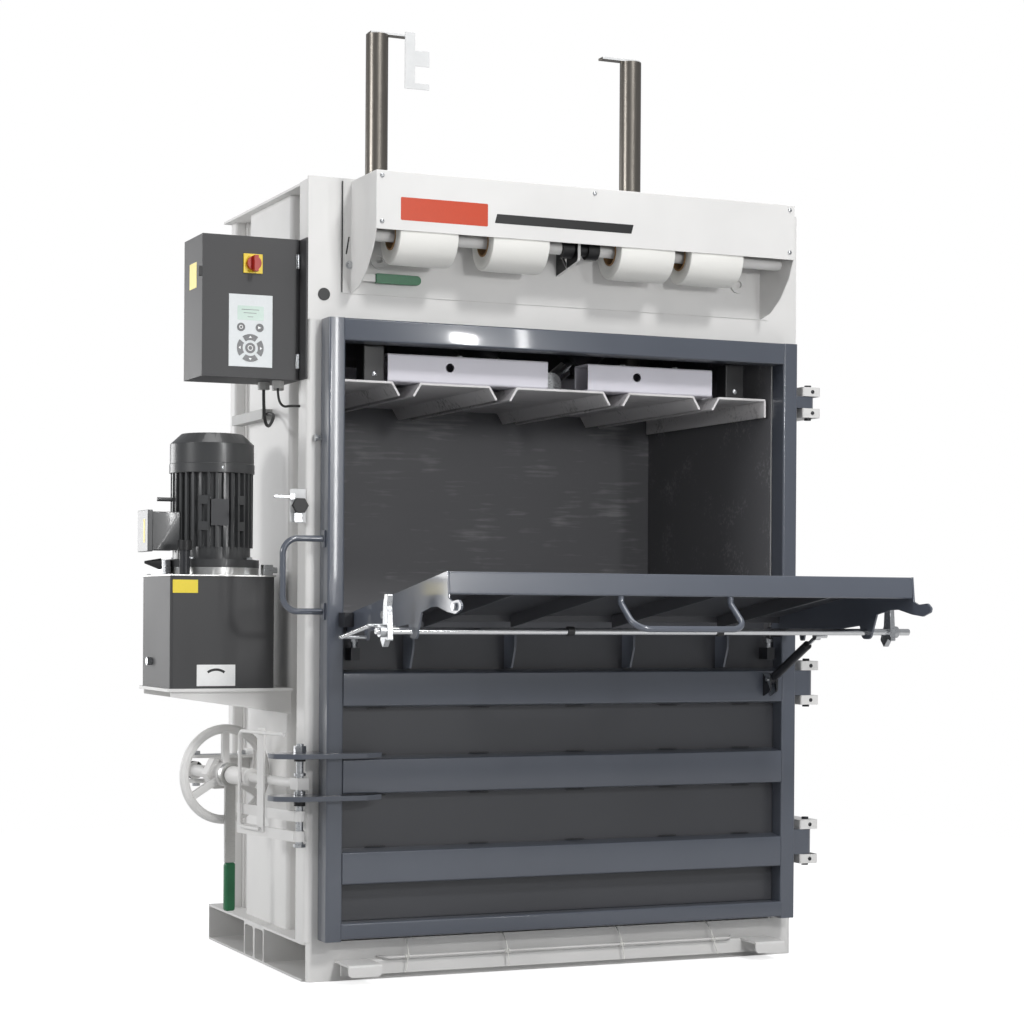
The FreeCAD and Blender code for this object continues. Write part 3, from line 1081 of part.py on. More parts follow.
def motor_housing():
    pts = []
    for i in range(FIN_COUNT):
        step = 2.0 * math.pi / FIN_COUNT
        for part, radius in ((0.0, MOTOR_R), (0.3, MOTOR_R), (0.42, MOTOR_R - FIN_H), (0.88, MOTOR_R - FIN_H)):
            angle = step * (i + part)
            pts.append((MOTOR_X + radius * math.cos(angle), MOTOR_Y + radius * math.sin(angle)))
    shapes = [prism("Z", pts, BODY_Z0, BODY_Z1)]
    shapes.append(cyl((MOTOR_X, MOTOR_Y, FLANGE_Z), (0, 0, 1), 118.0, 19.0))
    shapes.append(cyl((MOTOR_X, MOTOR_Y, FLANGE_Z + 18.0), (0, 0, 1), 96.0, 32.0))
    for angle in (-118.0, -62.0):
        a = math.radians(angle)
        for z in (1094.0, 1158.0):
            pad = box(MOTOR_R - 14.0, MOTOR_R + 2.0, -12.0, 12.0, z - 11.0, z + 11.0)
            pad.rotate(Vec(0, 0, 0), Vec(0, 0, 1), angle)
            pad.translate(Vec(MOTOR_X, MOTOR_Y, 0))
            shapes.append(pad)
    plate = box(MOTOR_R - 8.0, MOTOR_R + 1.0, -22.0, 22.0, 1095.0, 1160.0)
    plate.rotate(Vec(0, 0, 0), Vec(0, 0, 1), -95.0)
    plate.translate(Vec(MOTOR_X, MOTOR_Y, 0))
    shapes.append(plate)
    shapes.append(cyl((MOTOR_X - 140.0, MOTOR_Y, 1160.0), (1, 0, 0), 5.0, 52.0))
    body = join(shapes)
    return body.cut(cyl((MOTOR_X, MOTOR_Y, FLANGE_Z - 1.0), (0, 0, 1), 14.06, 300.0))


keep("motor_housing", motor_housing())


def motor_cowl():
    outer = [(0.0, COWL_TOP), (76.0, COWL_TOP), (104.0, COWL_TOP - 26.0), (104.0, BODY_Z1)]
    inner = [(101.0, BODY_Z1), (101.0, COWL_TOP - 27.0), (75.0, COWL_TOP - 3.0), (0.0, COWL_TOP - 3.0)]
    loop = [Vec(MOTOR_X + x, MOTOR_Y, z) for x, z in outer + inner]
    face = Part.Face(Part.makePolygon(loop + loop[:1]))
    return face.revolve(Vec(MOTOR_X, MOTOR_Y, 0), Vec(0, 0, 1), 360.0)


keep("motor_cowl", motor_cowl())

fan_parts = [cyl((MOTOR_X, MOTOR_Y, TANK_Z1 + CLEAR), (0, 0, 1), 14.0, 296.0)]
for i in range(6):
    blade = box(12.0, 88.0, -1.5, 1.5, 1236.0, 1266.0)
    blade.rotate(Vec(0, 0, 0), Vec(0, 0, 1), 60.0 * i)
    blade.translate(Vec(MOTOR_X, MOTOR_Y, 0))
    fan_parts.append(blade)
keep("motor_fan", join(fan_parts))

TERM_X = MOTOR_X - 163.0
term = [box(TERM_X, MOTOR_X - 94.0, -120.0, -32.0, 1034.0, 1128.0)]
term.append(box(TERM_X - 13.0, TERM_X, -124.0, -28.0, 1030.0, 1132.0))
term_box = join(term).cut(cyl((MOTOR_X, MOTOR_Y, 1000.0), (0, 0, 1), MOTOR_R, 200.0))
keep("terminal_box", term_box)
keep("terminal_box", cyl((TERM_X + 42.0, -32.0, 1060.0), (0, 1, 0), 11.0, 14.0))

top = TANK_Z1 + 4.0
FILLER = (TANK_X0 + 41.0, TANK_Y0 + 24.0)
keep("tank_fittings", cyl((FILLER[0], FILLER[1], top), (0, 0, 1), 13.0, 59.0))
keep("tank_fittings", cyl((FILLER[0], FILLER[1], top + 59.0), (0, 0, 1), 17.0, 24.0))
valve = box(TANK_X0 + 1.0, TANK_X0 + 23.0, -120.0, -90.0, top, top + 36.0)
keep("tank_fittings", valve)
spout = Part.makeCone(14.0, 3.0, 40.0, Vec(TANK_X0 + 1.0, -105.0, top + 26.0), Vec(-1, 0, 0.1))
keep("tank_fittings", spout.cut(valve))
keep("tank_fittings", box(TANK_X1 - 26.0, TANK_X1 - 2.0, -196.0, -172.0, top, top + 26.0))
keep("tank_fittings", cyl((TANK_X1 - 2.0, -184.0, top + 13.0), (1, 0, 0), 7.0, 14.0))
keep("tank_fittings", cyl((TANK_X0 - 12.0, -30.0, 760.0), (1, 0, 0), 10.0, 12.0))
keep("oil_tank", box(TANK_X0 + 5.0, TANK_X0 + 68.0, TANK_Y0 - 0.8, TANK_Y0, 929.0, 961.0))
keep("oil_tank", box(TANK_X0 + 66.0, TANK_X0 + 163.0, TANK_Y0 - 0.8, TANK_Y0, 703.0, 755.0))


# ---------------------------------------------------------------- control cabinet
GLANDS = ((CAB_X0 + 182.0, -262.0), (CAB_X0 + 218.0, -262.0), (CAB_X0 + 200.0, -318.0))
GLAND_Z = CAB_Z0 - 18.0


def cabinet_box():
    shell = box(CAB_X0, CAB_X1, CAB_Y0, CAB_Y1, CAB_Z0, CAB_Z1)
    t = CAB_T
    shell = shell.cut(box(CAB_X0 + t, CAB_X1 - t, CAB_Y0 - 1.0, CAB_Y1 - t, CAB_Z0 + t, CAB_Z1 - t))
    plate = box(CAB_X1, -HALF_W, -HALF_D, CAB_Y1, CAB_Z0, CAB_Z1)
    shapes = [shell, plate]
    for x, y in GLANDS:
        shapes.append(hexagon((x, y, GLAND_Z), (0, 0, 1), 26.0, CAB_Z0 - GLAND_Z))
    return join(shapes)


keep("cabinet_box", cabinet_box())
FACE_Y = CAB_Y0 - 3.0
door = box(CAB_X0, CAB_X1 - 3.0, FACE_Y, CAB_Y0 - CLEAR, CAB_Z0, CAB_Z1)
keep("cabinet_door", door)
for z in (CAB_Z0 + 28.0, CAB_Z1 - 70.0):
    cover = box(CAB_X1 - 10.0, CAB_X1 - 3.0, FACE_Y - 2.0, FACE_Y, z, z + 34.0)
    knuckle = cyl((CAB_X1 - 3.0, FACE_Y - 1.0, z), (0, 0, 1), 2.5, 34.0)
    keep("cabinet_door", join([cover, knuckle]).cut(door))
keep("cabinet_door", box(CAB_X0 - 9.0, CAB_X0, FACE_Y, CAB_Y0 - CLEAR, 1676.0, 1700.0))
keep("control_panel", box(CAB_X0 + 100.0, CAB_X0 + 147.0, FACE_Y - 4.0, FACE_Y, 1690.0, 1736.0))
keep("control_panel", box(CAB_X0 + 65.0, CAB_X0 + 173.0, FACE_Y - 1.5, FACE_Y, 1467.0, 1639.0))
KNOB = (CAB_X0 + 123.5, FACE_Y - 4.0, 1713.0)
knob = cyl((KNOB[0], KNOB[1] - 12.0, KNOB[2]), (0, 1, 0), 17.0, 12.0 - CLEAR)
knob_bar = box(KNOB[0] - 5.0, KNOB[0] + 5.0, KNOB[1] - 28.0, KNOB[1] - 12.0, KNOB[2] - 21.0, KNOB[2] + 17.0)
keep("switch_knob", join([knob, knob_bar]))
GEAR_X = CAB_X0 + 30.0
GEAR_Y = CAB_Y1 - 5.0
gear = [box(CAB_X0 + 18.0, CAB_X1 - 18.0, GEAR_Y, CAB_Y1 - 2.0, 1460.0, 1760.0)]
for i in range(4):
    x = GEAR_X + 48.0 * i
    gear.append(box(x, x + 44.0, GEAR_Y - 70.0, GEAR_Y, 1640.0, 1725.0))
gear.append(box(GEAR_X, GEAR_X + 98.0, GEAR_Y - 50.0, GEAR_Y, 1500.0, 1600.0))
gear.append(box(GEAR_X + 118.0, GEAR_X + 182.0, GEAR_Y - 55.0, GEAR_Y, 1490.0, 1610.0))
keep("control_gear", join(gear))

# closed cable duct on the side panel
DUCT_X = -PANEL_X - 14.0
DUCT_Y = -25.0
keep("cable_duct", box(-PANEL_X - 28.0, -PANEL_X, DUCT_Y, 235.0, 1372.0, 1398.0))


def cord(points, radius):
    """Cord along a route: each bend is as large as its two runs allow."""
    pieces = []
    previous = Vec(*points[0])
    for i in range(1, len(points) - 1):
        corner = Vec(*points[i])
        before = Vec(*points[i - 1]).sub(corner)
        after = Vec(*points[i + 1]).sub(corner)
        shorter = min(before.Length, after.Length)
        before.normalize()
        after.normalize()
        half = before.getAngle(after) / 2.0
        reach = 0.45 * shorter
        bend = reach * math.tan(half)
        print("cord bend", round(bend, 1))
        start = corner.add(Vec(before).multiply(reach))
        middle = before.add(after)
        middle.normalize()
        centre = corner.add(Vec(middle).multiply(bend / math.sin(half)))
        end = corner.add(Vec(after).multiply(reach))
        arc_mid = centre.add(Vec(middle).multiply(-bend))
        pieces.append(Part.LineSegment(previous, start).toShape())
        pieces.append(Part.Arc(start, arc_mid, end).toShape())
        previous = end
    pieces.append(Part.LineSegment(previous, Vec(*points[-1])).toShape())
    path = Part.Wire(pieces)
    first = Vec(*points[1]).sub(Vec(*points[0]))
    section = Part.Wire([Part.makeCircle(radius, Vec(*points[0]), first)])
    tube = path.makePipeShell([section], True, True)
    share = tube.Volume / (math.pi * radius ** 2 * path.Length)
    print("cord length", round(path.Length, 1), "volume share", round(share, 4))
    return tube


MOTOR_CABLE_R = 4.0
SWITCH_CABLE_R = 3.0
gx, gy = GLANDS[0]
route = [
    (gx, gy, GLAND_Z), (gx, gy, 1380.0), (gx + 13.0, -236.0, 1342.0), (gx + 44.0, -174.0, 1340.0),
    (DUCT_X, -95.0, 1385.0), (DUCT_X, DUCT_Y, 1385.0),
]
keep("cables", cord(route, MOTOR_CABLE_R))
gx, gy = GLANDS[2]
post_y = gy - 26.0
route = [
    (gx, gy, GLAND_Z), (gx, gy, 1398.0), (gx + 9.0, gy - 11.0, 1377.0), (-HALF_W - 22.0, post_y, 1380.0),
    (-HALF_W, post_y, 1380.0),
]
keep("cables", cord(route, SWITCH_CABLE_R))

# limit switch plate with knob and lever
LIMIT_Y = -391.0
LIMIT_X = -HALF_W - 19.0
edge = LIMIT_X - 21.0
plate = [(edge, 1098.0), (-HALF_W, 1098.0), (-HALF_W, 1178.0), (edge, 1178.0)]
limit = [prism("Y", plate, LIMIT_Y - 3.0, LIMIT_Y, [6.0, 0.0, 0.0, 6.0])]
limit.append(box(-HALF_W - 3.0, -HALF_W, LIMIT_Y, -345.0, 1098.0, 1178.0))
limit.append(cyl((LIMIT_X, LIMIT_Y - 12.0, 1138.0), (0, 1, 0), 8.0, 9.0))
limit.append(hexagon((LIMIT_X, LIMIT_Y - 24.0, 1138.0), (0, 1, 0), 34.0, 12.0))
limit.append(box(LIMIT_X - 62.0, LIMIT_X - 10.0, LIMIT_Y - 9.0, LIMIT_Y - 5.0, 1156.0, 1162.0))
limit.append(box(LIMIT_X - 22.0, LIMIT_X - 10.0, LIMIT_Y - 9.0, LIMIT_Y - 3.0, 1152.0, 1166.0))
limit.append(box(LIMIT_X - 14.0, LIMIT_X + 6.0, LIMIT_Y - 17.0, LIMIT_Y - 3.0, 1098.0, 1120.0))
keep("limit_switch", join(limit))
keep("head_frame", cyl((PLUG[0], -HALF_D - 2.0, PLUG[1]), (0, 1, 0), PLUG[2], 2.0))

# twine ends laid over the hook rail
TWINE_R = 1.4
STRAND_Z = BASE_H + TWINE_R
TIE_Y = -428.0 - 3.0 - TWINE_R
for x, swing in zip(CHANNEL_X, (-10.0, 6.0, 12.0, 22.0)):
    strand = [
        (x, -386.0, STRAND_Z), (x, -409.0, STRAND_Z), (x + 0.25 * swing, TIE_Y, 64.0),
        (x + 0.55 * swing, TIE_Y, 38.0), (x + swing, -430.0, 16.0),
    ]
    keep("twine_ends", cord(strand, TWINE_R))

# ---------------------------------------------------------------- export
for name, solids in NODES.items():
    shape = solids[0] if len(solids) == 1 else Part.makeCompound(solids)
    shape.exportStep("parts/%s.step" % name)
print(len(NODES), "nodes")
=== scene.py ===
"""Looks of the recycling baler: finishes, small parts, cords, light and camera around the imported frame."""
import json
import math

import bmesh
import bpy
from mathutils import Matrix, Vector

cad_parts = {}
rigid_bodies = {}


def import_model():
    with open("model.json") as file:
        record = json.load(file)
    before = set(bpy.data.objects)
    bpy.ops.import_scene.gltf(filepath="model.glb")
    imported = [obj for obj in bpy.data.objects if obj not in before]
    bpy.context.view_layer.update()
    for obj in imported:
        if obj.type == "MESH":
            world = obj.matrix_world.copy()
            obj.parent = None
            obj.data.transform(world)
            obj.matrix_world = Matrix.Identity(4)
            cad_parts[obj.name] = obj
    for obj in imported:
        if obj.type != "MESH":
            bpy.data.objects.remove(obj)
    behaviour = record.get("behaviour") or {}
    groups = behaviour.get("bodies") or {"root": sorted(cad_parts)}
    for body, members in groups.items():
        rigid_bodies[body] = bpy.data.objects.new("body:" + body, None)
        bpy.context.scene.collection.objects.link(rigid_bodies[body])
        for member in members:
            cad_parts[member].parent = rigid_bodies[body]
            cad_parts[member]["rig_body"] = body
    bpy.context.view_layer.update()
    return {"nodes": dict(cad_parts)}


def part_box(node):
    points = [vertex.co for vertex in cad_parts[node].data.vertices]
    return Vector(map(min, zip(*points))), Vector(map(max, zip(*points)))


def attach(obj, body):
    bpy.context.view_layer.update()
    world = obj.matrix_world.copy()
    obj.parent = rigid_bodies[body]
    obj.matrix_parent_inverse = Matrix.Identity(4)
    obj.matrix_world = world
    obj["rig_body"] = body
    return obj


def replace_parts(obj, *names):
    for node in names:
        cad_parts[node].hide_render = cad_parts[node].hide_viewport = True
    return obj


bl_info = {
    "name": "Recycling Baler",
    "version": (1, 0, 0),
    "blender": (4, 5, 0),
    "location": "View3D > Sidebar > Baler",
    "description": "Dresses a vertical recycling baler with finishes, fasteners, cords and a studio",
    "category": "Object",
}

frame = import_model()
MM = 0.001
TAU = 2.0 * math.pi

# the photograph's camera, fitted to the machine's own edges
IMAGE_SIDE = 1024
FOCAL_PIXELS = 2335.5
HORIZON_PIXEL = 609.73
SENSOR_WIDTH = 36.0
CAMERA_PLACE = (-2.45994, -5.69603, 0.89330)
CAMERA_YAW = 0.413743
CAMERA_ROLL = 0.0064906


# ---------------------------------------------------------------- settings
def linear(code):
    """sRGB hex colour as linear RGBA."""
    channels = [int(code[i:i + 2], 16) / 255.0 for i in (1, 3, 5)]
    return tuple(c / 12.92 if c <= 0.04045 else ((c + 0.055) / 1.055) ** 2.4 for c in channels) + (1.0,)


def colour_setting(name, description, code):
    return bpy.props.FloatVectorProperty(
        name=name, description=description, subtype="COLOR", size=4, min=0.0, max=1.0, default=linear(code))


def length_setting(name, description, millimetres):
    return bpy.props.FloatProperty(
        name=name, description=description, default=millimetres * MM, unit="LENGTH", precision=4)


class BalerColours(bpy.types.PropertyGroup):
    chassis: colour_setting("Chassis", "Powder coat of base, side frames and head", "#DDDCDA")
    beams: colour_setting("Beams", "Powder coat of the ram's beams", "#DCDAE2")
    door: colour_setting("Door", "Semi-gloss paint of door and flap", "#50555F")
    # Sheet colour darker than the door colour: painted shade on the sheets between the ribs and under the
    # flap.
    panel: colour_setting("Panel", "Paint of the door and flap sheets", "#404145")
    graphite: colour_setting("Graphite", "Structured paint of cabinet and tank", "#3A3A3B")
    motor: colour_setting("Motor", "Enamel of the motor", "#3E3F40")
    grip: colour_setting("Grip", "Dipped vinyl of the lever grips", "#1F6B43")
    twine: colour_setting("Twine", "Polypropylene twine", "#F2F1EC")
    stripe: colour_setting("Stripe", "Plain field on the twine hood", "#C23D12")


class BalerSizes(bpy.types.PropertyGroup):
    fold_round: length_setting("Fold rounding", "Rounding of folded sheet and tube edges", 1.4)
    fine_round: length_setting("Fine rounding", "Rounding of small machined parts", 0.6)
    core_radius: length_setting("Core radius", "Outer radius of a twine roll's cardboard core", 34.5)
    core_wall: length_setting("Core wall", "Wall of the cardboard core", 3.5)
    spring_wire: length_setting("Spring wire", "Wire radius of the latch spring", 0.9)
    spring_coils: bpy.props.IntProperty(
        name="Spring coils", description="Turns of the latch spring", default=64, min=10, max=100)
    vent_rings: bpy.props.IntProperty(
        name="Vent rings", description="Rings of slots in the motor cowl", default=4, min=1, max=6)


def colours():
    return bpy.context.scene.baler_colours


def sizes():
    return bpy.context.scene.baler_sizes


# ---------------------------------------------------------------- node trees
def add(tree, kind, inputs=None, **settings):
    """Adds one node with its settings, and fills or links its inputs."""
    node = tree.nodes.new(kind)
    for name, value in settings.items():
        setattr(node, name, value)
    for name, value in (inputs or {}).items():
        socket = node.inputs[name]
        if isinstance(value, bpy.types.NodeSocket):
            tree.links.new(value, socket)
        else:
            socket.default_value = value
    return node


def grain(tree, size_mm, stretch=(1.0, 1.0, 1.0), detail=3.0):
    """Noise whose grains have a real size, on object coordinates; stretch makes them longer along an axis."""
    place = add(tree, "ShaderNodeTexCoord").outputs["Object"]
    scale = [1.0 / (size_mm * MM * s) for s in stretch]
    mapped = add(tree, "ShaderNodeMapping", {"Vector": place, "Scale": scale}).outputs["Vector"]
    return add(tree, "ShaderNodeTexNoise", {"Vector": mapped, "Scale": 1.0, "Detail": detail}).outputs["Fac"]


def tinted(colour, factor):
    return tuple(min(1.0, c * factor) for c in colour[:3]) + (1.0,)


def new_finish(name):
    """Empty material and its tree."""
    material = bpy.data.materials.new(name)
    material.use_nodes = True
    material.node_tree.nodes.clear()
    return material, material.node_tree


def surface(tree, tone, dark, light, gloss, low, high, skin=None, depth_mm=0.0, strength=0.5,
            window=(0.35, 0.65), **rest):
    """Principled surface: tone runs it from dark to light, gloss from low to high roughness, skin raises it.

    Underscores in the names of further sockets stand for spaces.
    """
    spread = add(tree, "ShaderNodeMapRange", {"Value": tone, "From Min": window[0], "From Max": window[1]})
    tint = add(tree, "ShaderNodeMix", {0: spread.outputs["Result"], 6: dark, 7: light}, data_type="RGBA")
    rough = add(tree, "ShaderNodeMapRange", {"Value": gloss, "To Min": low, "To Max": high})
    sockets = {name.replace("_", " "): value for name, value in rest.items()}
    sockets.update({"Base Color": tint.outputs[2], "Roughness": rough.outputs["Result"]})
    if skin is not None:
        bump = add(tree, "ShaderNodeBump", {"Height": skin, "Distance": depth_mm * MM, "Strength": strength})
        sockets["Normal"] = bump.outputs["Normal"]
    shader = add(tree, "ShaderNodeBsdfPrincipled", sockets)
    add(tree, "ShaderNodeOutputMaterial", {"Surface": shader.outputs["BSDF"]})


# ---------------------------------------------------------------- finishes
def powder_coat(name, colour, roughness, peel_mm=5.0, depth_mm=0.05, coat=0.0):
    """Baked polyester powder: soft sheen, broken by orange peel, drawn coarser than real so that it shows."""
    material, tree = new_finish(name)
    cloud = grain(tree, 260.0)
    surface(
        tree, cloud, tinted(colour, 0.955), tinted(colour, 1.02), cloud, roughness - 0.04, roughness + 0.05,
        grain(tree, peel_mm, detail=1.0), depth_mm, Coat_Weight=coat, Coat_Roughness=0.08, IOR=1.5)
    return material


def scuffed_coat(name, colour, bare, roughness):
    """Powder coat rubbed by board and twine: long pale and dark scratches across the stroke."""
    material, tree = new_finish(name)
    rub = grain(tree, 9.0, stretch=(14.0, 1.0, 1.0), detail=6.0)
    worn = add(tree, "ShaderNodeMath", {0: rub, 1: grain(tree, 120.0)}, operation="MULTIPLY").outputs["Value"]
    surface(
        tree, worn, colour, bare, rub, roughness - 0.06, roughness + 0.12,
        rub, 0.05, 0.3, window=(0.30, 0.46), IOR=1.5)
    return material


def polished_metal(name, colour, roughness, spangle_mm=3.0, stretch=(1.0, 1.0, 1.0)):
    """Bare or plated metal: mirror-like, with faint drawing lines or zinc spangle in its gloss."""
    material, tree = new_finish(name)
    lines = grain(tree, spangle_mm, stretch=stretch, detail=2.0)
    surface(tree, lines, tinted(colour, 0.88), colour, lines, roughness, roughness * 1.6 + 0.02, Metallic=1.0)
    return material


def moulded_plastic(name, colour, roughness):
    """Injection-moulded polyamide or ABS: spark-eroded grain that dulls the gloss."""
    material, tree = new_finish(name)
    spark = grain(tree, 0.8)
    surface(
        tree, grain(tree, 40.0), tinted(colour, 0.94), colour, spark, roughness - 0.03, roughness + 0.08,
        spark, 0.04, 0.35, IOR=1.49)
    return material


def printed_film(name, colour, roughness=0.35):
    """Screen-printed polyester film: flat, even ink under a satin face."""
    material, tree = new_finish(name)
    ink = grain(tree, 6.0)
    surface(tree, ink, tinted(colour, 0.97), colour, ink, roughness - 0.03, roughness + 0.03, IOR=1.5)
    return material


def wound_twine(name, colour, pitch_mm=1.6):
    """Polypropylene twine wound side by side: fine ridges round the roll, one a pitch, and a milky sheen."""
    material, tree = new_finish(name)
    waves_per_unit = 20.0
    place = add(tree, "ShaderNodeTexCoord").outputs["Object"]
    turns = add(
        tree, "ShaderNodeTexWave",
        {"Vector": place, "Scale": TAU / (waves_per_unit * pitch_mm * MM), "Distortion": 1.2, "Detail": 2.0,
         "Detail Scale": 2.0},
        wave_type="BANDS", bands_direction="X").outputs["Fac"]
    surface(
        tree, turns, tinted(colour, 0.93), colour, grain(tree, 22.0, stretch=(4.0, 1.0, 1.0)), 0.42, 0.58,
        turns, 0.35, 0.5, window=(0.1, 0.8), Sheen_Weight=0.15, IOR=1.49)
    return material


def wound_board(name, colour):
    """Spiral-wound greyboard: brown fibres with darker flecks."""
    material, tree = new_finish(name)
    fibre = grain(tree, 1.5, stretch=(6.0, 1.0, 1.0), detail=5.0)
    surface(tree, fibre, tinted(colour, 0.78), colour, fibre, 0.8, 0.95, fibre, 0.15)
    return material


def dipped_vinyl(name, colour):
    """Dip-moulded PVC: thick, waxy, slightly uneven skin."""
    material, tree = new_finish(name)
    skin = grain(tree, 7.0, detail=2.0)
    surface(tree, skin, tinted(colour, 0.9), colour, skin, 0.3, 0.42, skin, 0.2, 0.4, IOR=1.52)
    return material


def extruded_rubber(name, colour):
    """Cable sheath: dull black with a slight lengthwise bloom."""
    material, tree = new_finish(name)
    bloom = grain(tree, 5.0)
    surface(tree, bloom, colour, tinted(colour, 1.6), bloom, 0.42, 0.6, bloom, 0.05, 0.3, IOR=1.52)
    return material


def display_glass(name, colour):
    """Liquid-crystal display: grey-green polariser behind clear film."""
    material, tree = new_finish(name)
    cells = grain(tree, 2.0)
    surface(
        tree, cells, tinted(colour, 0.97), colour, cells, 0.10, 0.16,
        Coat_Weight=0.5, Coat_Roughness=0.03, IOR=1.5)
    return material


FINISHES = {
    "chassis_coat": lambda: powder_coat("polyester_powder_coat_light_grey", colours().chassis, 0.50),
    "beam_coat": lambda: powder_coat("polyester_powder_coat_pale_lilac", colours().beams, 0.42),
    "door_coat": lambda: powder_coat(
        "semi_gloss_paint_slate", colours().door, 0.30, peel_mm=8.0, depth_mm=0.04, coat=0.8),
    # Door and flap sheets: the slate coat made darker, painted shade between the ribs and under the flap.
    "sheet_shade_coat": lambda: powder_coat(
        "semi_gloss_slate_sheet_shade", colours().panel, 0.36, peel_mm=8.0, depth_mm=0.04, coat=0.2),
    "graphite_coat": lambda: powder_coat(
        "structured_paint_graphite", colours().graphite, 0.52, peel_mm=3.0, depth_mm=0.10),
    "motor_enamel": lambda: powder_coat(
        "motor_enamel_dark_grey", colours().motor, 0.34, peel_mm=10.0, depth_mm=0.10, coat=0.2),
    # Chamber's inner walls: scuffed coat kept far darker than the chassis coat, painted shade inside the
    # chamber, with wear.
    "chamber_wear_shade": lambda: scuffed_coat(
        "worn_lining_with_painted_shade", linear("#6F6F72"), linear("#929294"), 0.5),
    "ram_coat": lambda: scuffed_coat("worn_powder_coat_ram", linear("#DEDCDC"), linear("#A9A8A6"), 0.42),
    "floor_steel": lambda: scuffed_coat(
        "rubbed_sheet_steel_floor", linear("#8B8B89"), linear("#B5B4B0"), 0.4),
    "guide_steel": lambda: polished_metal(
        "drawn_tube_steel", linear("#86817A"), 0.24, spangle_mm=0.8, stretch=(1.0, 1.0, 60.0)),
    "chrome": lambda: polished_metal("hard_chrome", linear("#E9EAEB"), 0.08, spangle_mm=2.0),
    "zinc": lambda: polished_metal("zinc_plated_steel", linear("#C6C8CA"), 0.22, spangle_mm=4.0),
    "aluminium": lambda: polished_metal(
        "turned_aluminium", linear("#C9C9C7"), 0.26, spangle_mm=1.0, stretch=(8.0, 8.0, 1.0)),
    "black_steel": lambda: powder_coat("black_oxide_steel", linear("#232428"), 0.38, peel_mm=6.0),
    "black_plastic": lambda: moulded_plastic("moulded_polyamide_black", linear("#1B1B1C"), 0.42),
    "grey_plastic": lambda: moulded_plastic("moulded_pvc_grey", linear("#A2A2A0"), 0.45),
    "white_plastic": lambda: moulded_plastic("moulded_abs_pale", linear("#D9DADA"), 0.4),
    "red_plastic": lambda: moulded_plastic("moulded_polyamide_red", linear("#A8271C"), 0.32),
    "yellow_plastic": lambda: moulded_plastic("moulded_polyamide_yellow", linear("#E6C92C"), 0.34),
    "membrane": lambda: printed_film("membrane_film_pale", linear("#D3D7D8")),
    "key_ink": lambda: printed_film("membrane_ink_dark", linear("#3A3C3F"), 0.3),
    "white_ink": lambda: printed_film("film_white", linear("#EDEDEC")),
    "yellow_ink": lambda: printed_film("film_yellow", linear("#E8D02A")),
    "black_ink": lambda: printed_film("film_black", linear("#1C1C1C")),
    "stripe_ink": lambda: printed_film("film_orange", colours().stripe),
    "display": lambda: display_glass("liquid_crystal_display", linear("#C3D6CC")),
    "twine": lambda: wound_twine("polypropylene_twine_wound", colours().twine),
    "strand": lambda: dipped_vinyl("polypropylene_strand", colours().twine),
    "board": lambda: wound_board("spiral_wound_greyboard", linear("#A5825A")),
    "grip": lambda: dipped_vinyl("dip_moulded_vinyl_green", colours().grip),
    "cable": lambda: extruded_rubber("rubber_cable_sheath", linear("#141414")),
}


def finish(key):
    """The material of that finish, made once."""
    tag = "baler_" + key
    if tag not in bpy.context.scene:
        bpy.context.scene[tag] = FINISHES[key]().name
    return bpy.data.materials[bpy.context.scene[tag]]


# ---------------------------------------------------------------- mesh tools
FILM = 0.35         # printed film on a front face, mm
SIDE_FILM = 0.3     # printed film on a left face, mm


def add_block(bm, low, high):
    (x0, y0, z0), (x1, y1, z1) = low, high
    corners = [bm.verts.new((x, y, z)) for z in (z0, z1) for y in (y0, y1) for x in (x0, x1)]
    for loop in ((0, 2, 3, 1), (4, 5, 7, 6), (0, 1, 5, 4), (2, 6, 7, 3), (0, 4, 6, 2), (1, 3, 7, 5)):
        bm.faces.new([corners[i] for i in loop])


def add_slab(bm, corners, y_front, y_back):
    """Flat plate facing the front: corners (x, z) in order, given thickness along Y."""
    front = [bm.verts.new((x, y_front, z)) for x, z in corners]
    back = [bm.verts.new((x, y_back, z)) for x, z in corners]
    bm.faces.new(front)
    bm.faces.new(back[::-1])
    for i, start in enumerate(front):
        j = (i + 1) % len(front)
        bm.faces.new((start, back[i], back[j], front[j]))


def add_lathe(bm, centre, axis, profile, sides=32):
    """Solid or ring turned round an axis: profile of (along, radius), closed on itself or on the axis."""
    turn = Vector(axis).to_track_quat("Z", "Y")
    rings = []
    for along, radius in profile:
        if radius == 0.0:
            rings.append([bm.verts.new(Vector(centre) + turn @ Vector((0.0, 0.0, along)))])
            continue
        steps = [TAU * i / sides for i in range(sides)]
        spots = [Vector((radius * math.cos(a), radius * math.sin(a), along)) for a in steps]
        rings.append([bm.verts.new(Vector(centre) + turn @ spot) for spot in spots])
    closed = profile[0][1] > 0.0 and profile[-1][1] > 0.0
    pairs = list(zip(rings, rings[1:] + rings[:1])) if closed else list(zip(rings, rings[1:]))
    for lower, upper in pairs:
        for i in range(sides):
            j = (i + 1) % sides
            loop = [ring[k % len(ring)] for ring, k in ((lower, i), (lower, j), (upper, j), (upper, i))]
            bm.faces.new(list(dict.fromkeys(loop)))


def rounded_rectangle(x0, x1, z0, z1, radius, steps=5):
    points = []
    for cx, cz, start in ((x1 - radius, z1 - radius, 0), (x0 + radius, z1 - radius, 90),
                          (x0 + radius, z0 + radius, 180), (x1 - radius, z0 + radius, 270)):
        for i in range(steps + 1):
            angle = math.radians(start + 90.0 * i / steps)
            points.append((cx + radius * math.cos(angle), cz + radius * math.sin(angle)))
    return points


def arc_segment(cx, cz, inner, outer, start, end, steps=10):
    angles = [math.radians(start + (end - start) * i / steps) for i in range(steps + 1)]
    points = [(cx + outer * math.cos(a), cz + outer * math.sin(a)) for a in angles]
    return points + [(cx + inner * math.cos(a), cz + inner * math.sin(a)) for a in angles[::-1]]


